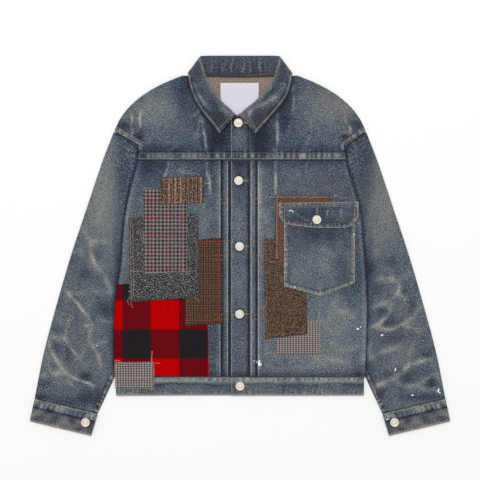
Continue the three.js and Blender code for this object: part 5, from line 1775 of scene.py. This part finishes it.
ALL_PATCHES = RIGHT_PATCHES + LEFT_PATCHES
for seed, (name, slot, finish, corners) in enumerate(ALL_PATCHES):
    dark, light, reach = FRAY[name]
    edge = corners if name != "red_plaid" else [[-70, -80], [-65.5, -274], [-240, -274], [-240, -81]]
    covers = [patch[3] for patch in ALL_PATCHES[seed + 1:]] + POCKET_COVERS
    ends = [mark for mark in frayed(edge, seed, reach) if not hidden(mark, covers)]
    strew(f"{name}_frayed_ends", thread_finish(f"{name} yarn ends", dark, light), ends)

strew("red_mending_stitches", RED, red_mends)
strew("beige_mending_stitches", BEIGE, beige_mends)
strew("pink_mending_stitches", PINK, pink_mends)
strew("black_mending_stitches", BLACK, black_mends)
strew("plum_mending_stitches", PLUM, plum_mends)
strew("loose_thread_ends", CREAM, cream_ends)

# Drops of dried white paint: place, length, width and turn
PAINT = [(40, -246, 13, 5, 80), (42, -250, 9, 5, 30), (36, -244, 6, 2.5, 60), (38, -254, 4, 3, 0),
         (99.3, 47, 7, 4, 20), (106, 73, 9, 2, 5), (110.4, 71, 3, 2.4, 40), (239, 23, 3.4, 3, 0),
         (115, -87, 3.2, 2.4, 0), (247, -175, 6, 4, 30), (253, -171, 3, 2, 80), (298, -188, 6, 4, 20),
         (326, -260, 8, 3, 80), (416, -304, 10, 4, 75), (419, -309, 4, 3, 0), (362, -314, 6, 3, 10),
         (-300, -210, 3, 2.4, 0), (-232, -96, 2, 1.6, 0), (30, -242, 4, 1.6, 20), (309, -364, 5, 3, 40),
         (150, 46, 2, 1.6, 0)]
drops = []
for px, py, long, wide, turned in PAINT:
    a = math.radians(turned)
    dx, dy = math.cos(a) * long / 2, math.sin(a) * long / 2
    drops.append([px - dx, py - dy, px + dx, py + dy, wide, 0.5])
strew("dried_paint_drops", thread_finish("dried white paint", "e4e6ea", "fbfbfb"), drops, sunk=0.2)

# ---- Table, light and camera
# A plain pale table under the jacket, one large soft lamp beyond the collar, and even light from all
# round. The camera looks straight down.
LAMP_WATTS = 460
SKY_STRENGTH = 0.54
CAMERA_HEIGHT = 4.0
FIELD_WIDTH = 1.008
SENSOR_WIDTH = 36


def build_setting():
    made = bmesh.new()
    bmesh.ops.create_grid(made, x_segments=1, y_segments=1, size=6)
    mesh = bpy.data.meshes.new("table_top")
    made.to_mesh(mesh)
    made.free()
    table = placed("table_top", mesh)
    table.location.z = -0.0002
    f = Finish("pale table")
    table.data.materials.append(f.done(paint("f1f1f1"), 0.9))
    lamp = placed("soft_lamp", bpy.data.lights.new("soft_lamp", "AREA"))
    lamp.data.shape = "RECTANGLE"
    lamp.data.size, lamp.data.size_y = 3.4, 2.4
    lamp.data.energy = LAMP_WATTS
    lamp.location = (-0.6, 3.3, 7.7)
    lamp.rotation_euler = (Vector((0, 0, 0)) - lamp.location).to_track_quat("-Z", "Y").to_euler()
    world = bpy.data.worlds.new("even light")
    world.use_nodes = True
    sky = world.node_tree.nodes["Background"]
    sky.inputs["Color"].default_value = (1, 1, 1, 1)
    sky.inputs["Strength"].default_value = SKY_STRENGTH
    scene = bpy.context.scene
    scene.world = world
    scene.view_settings.view_transform = "Standard"
    camera = placed("camera_above", bpy.data.cameras.new("camera_above"))
    camera.location = (0, 0.0115, CAMERA_HEIGHT)
    camera.data.sensor_width = SENSOR_WIDTH
    camera.data.lens = SENSOR_WIDTH * CAMERA_HEIGHT / FIELD_WIDTH
    scene.camera = camera


build_setting()
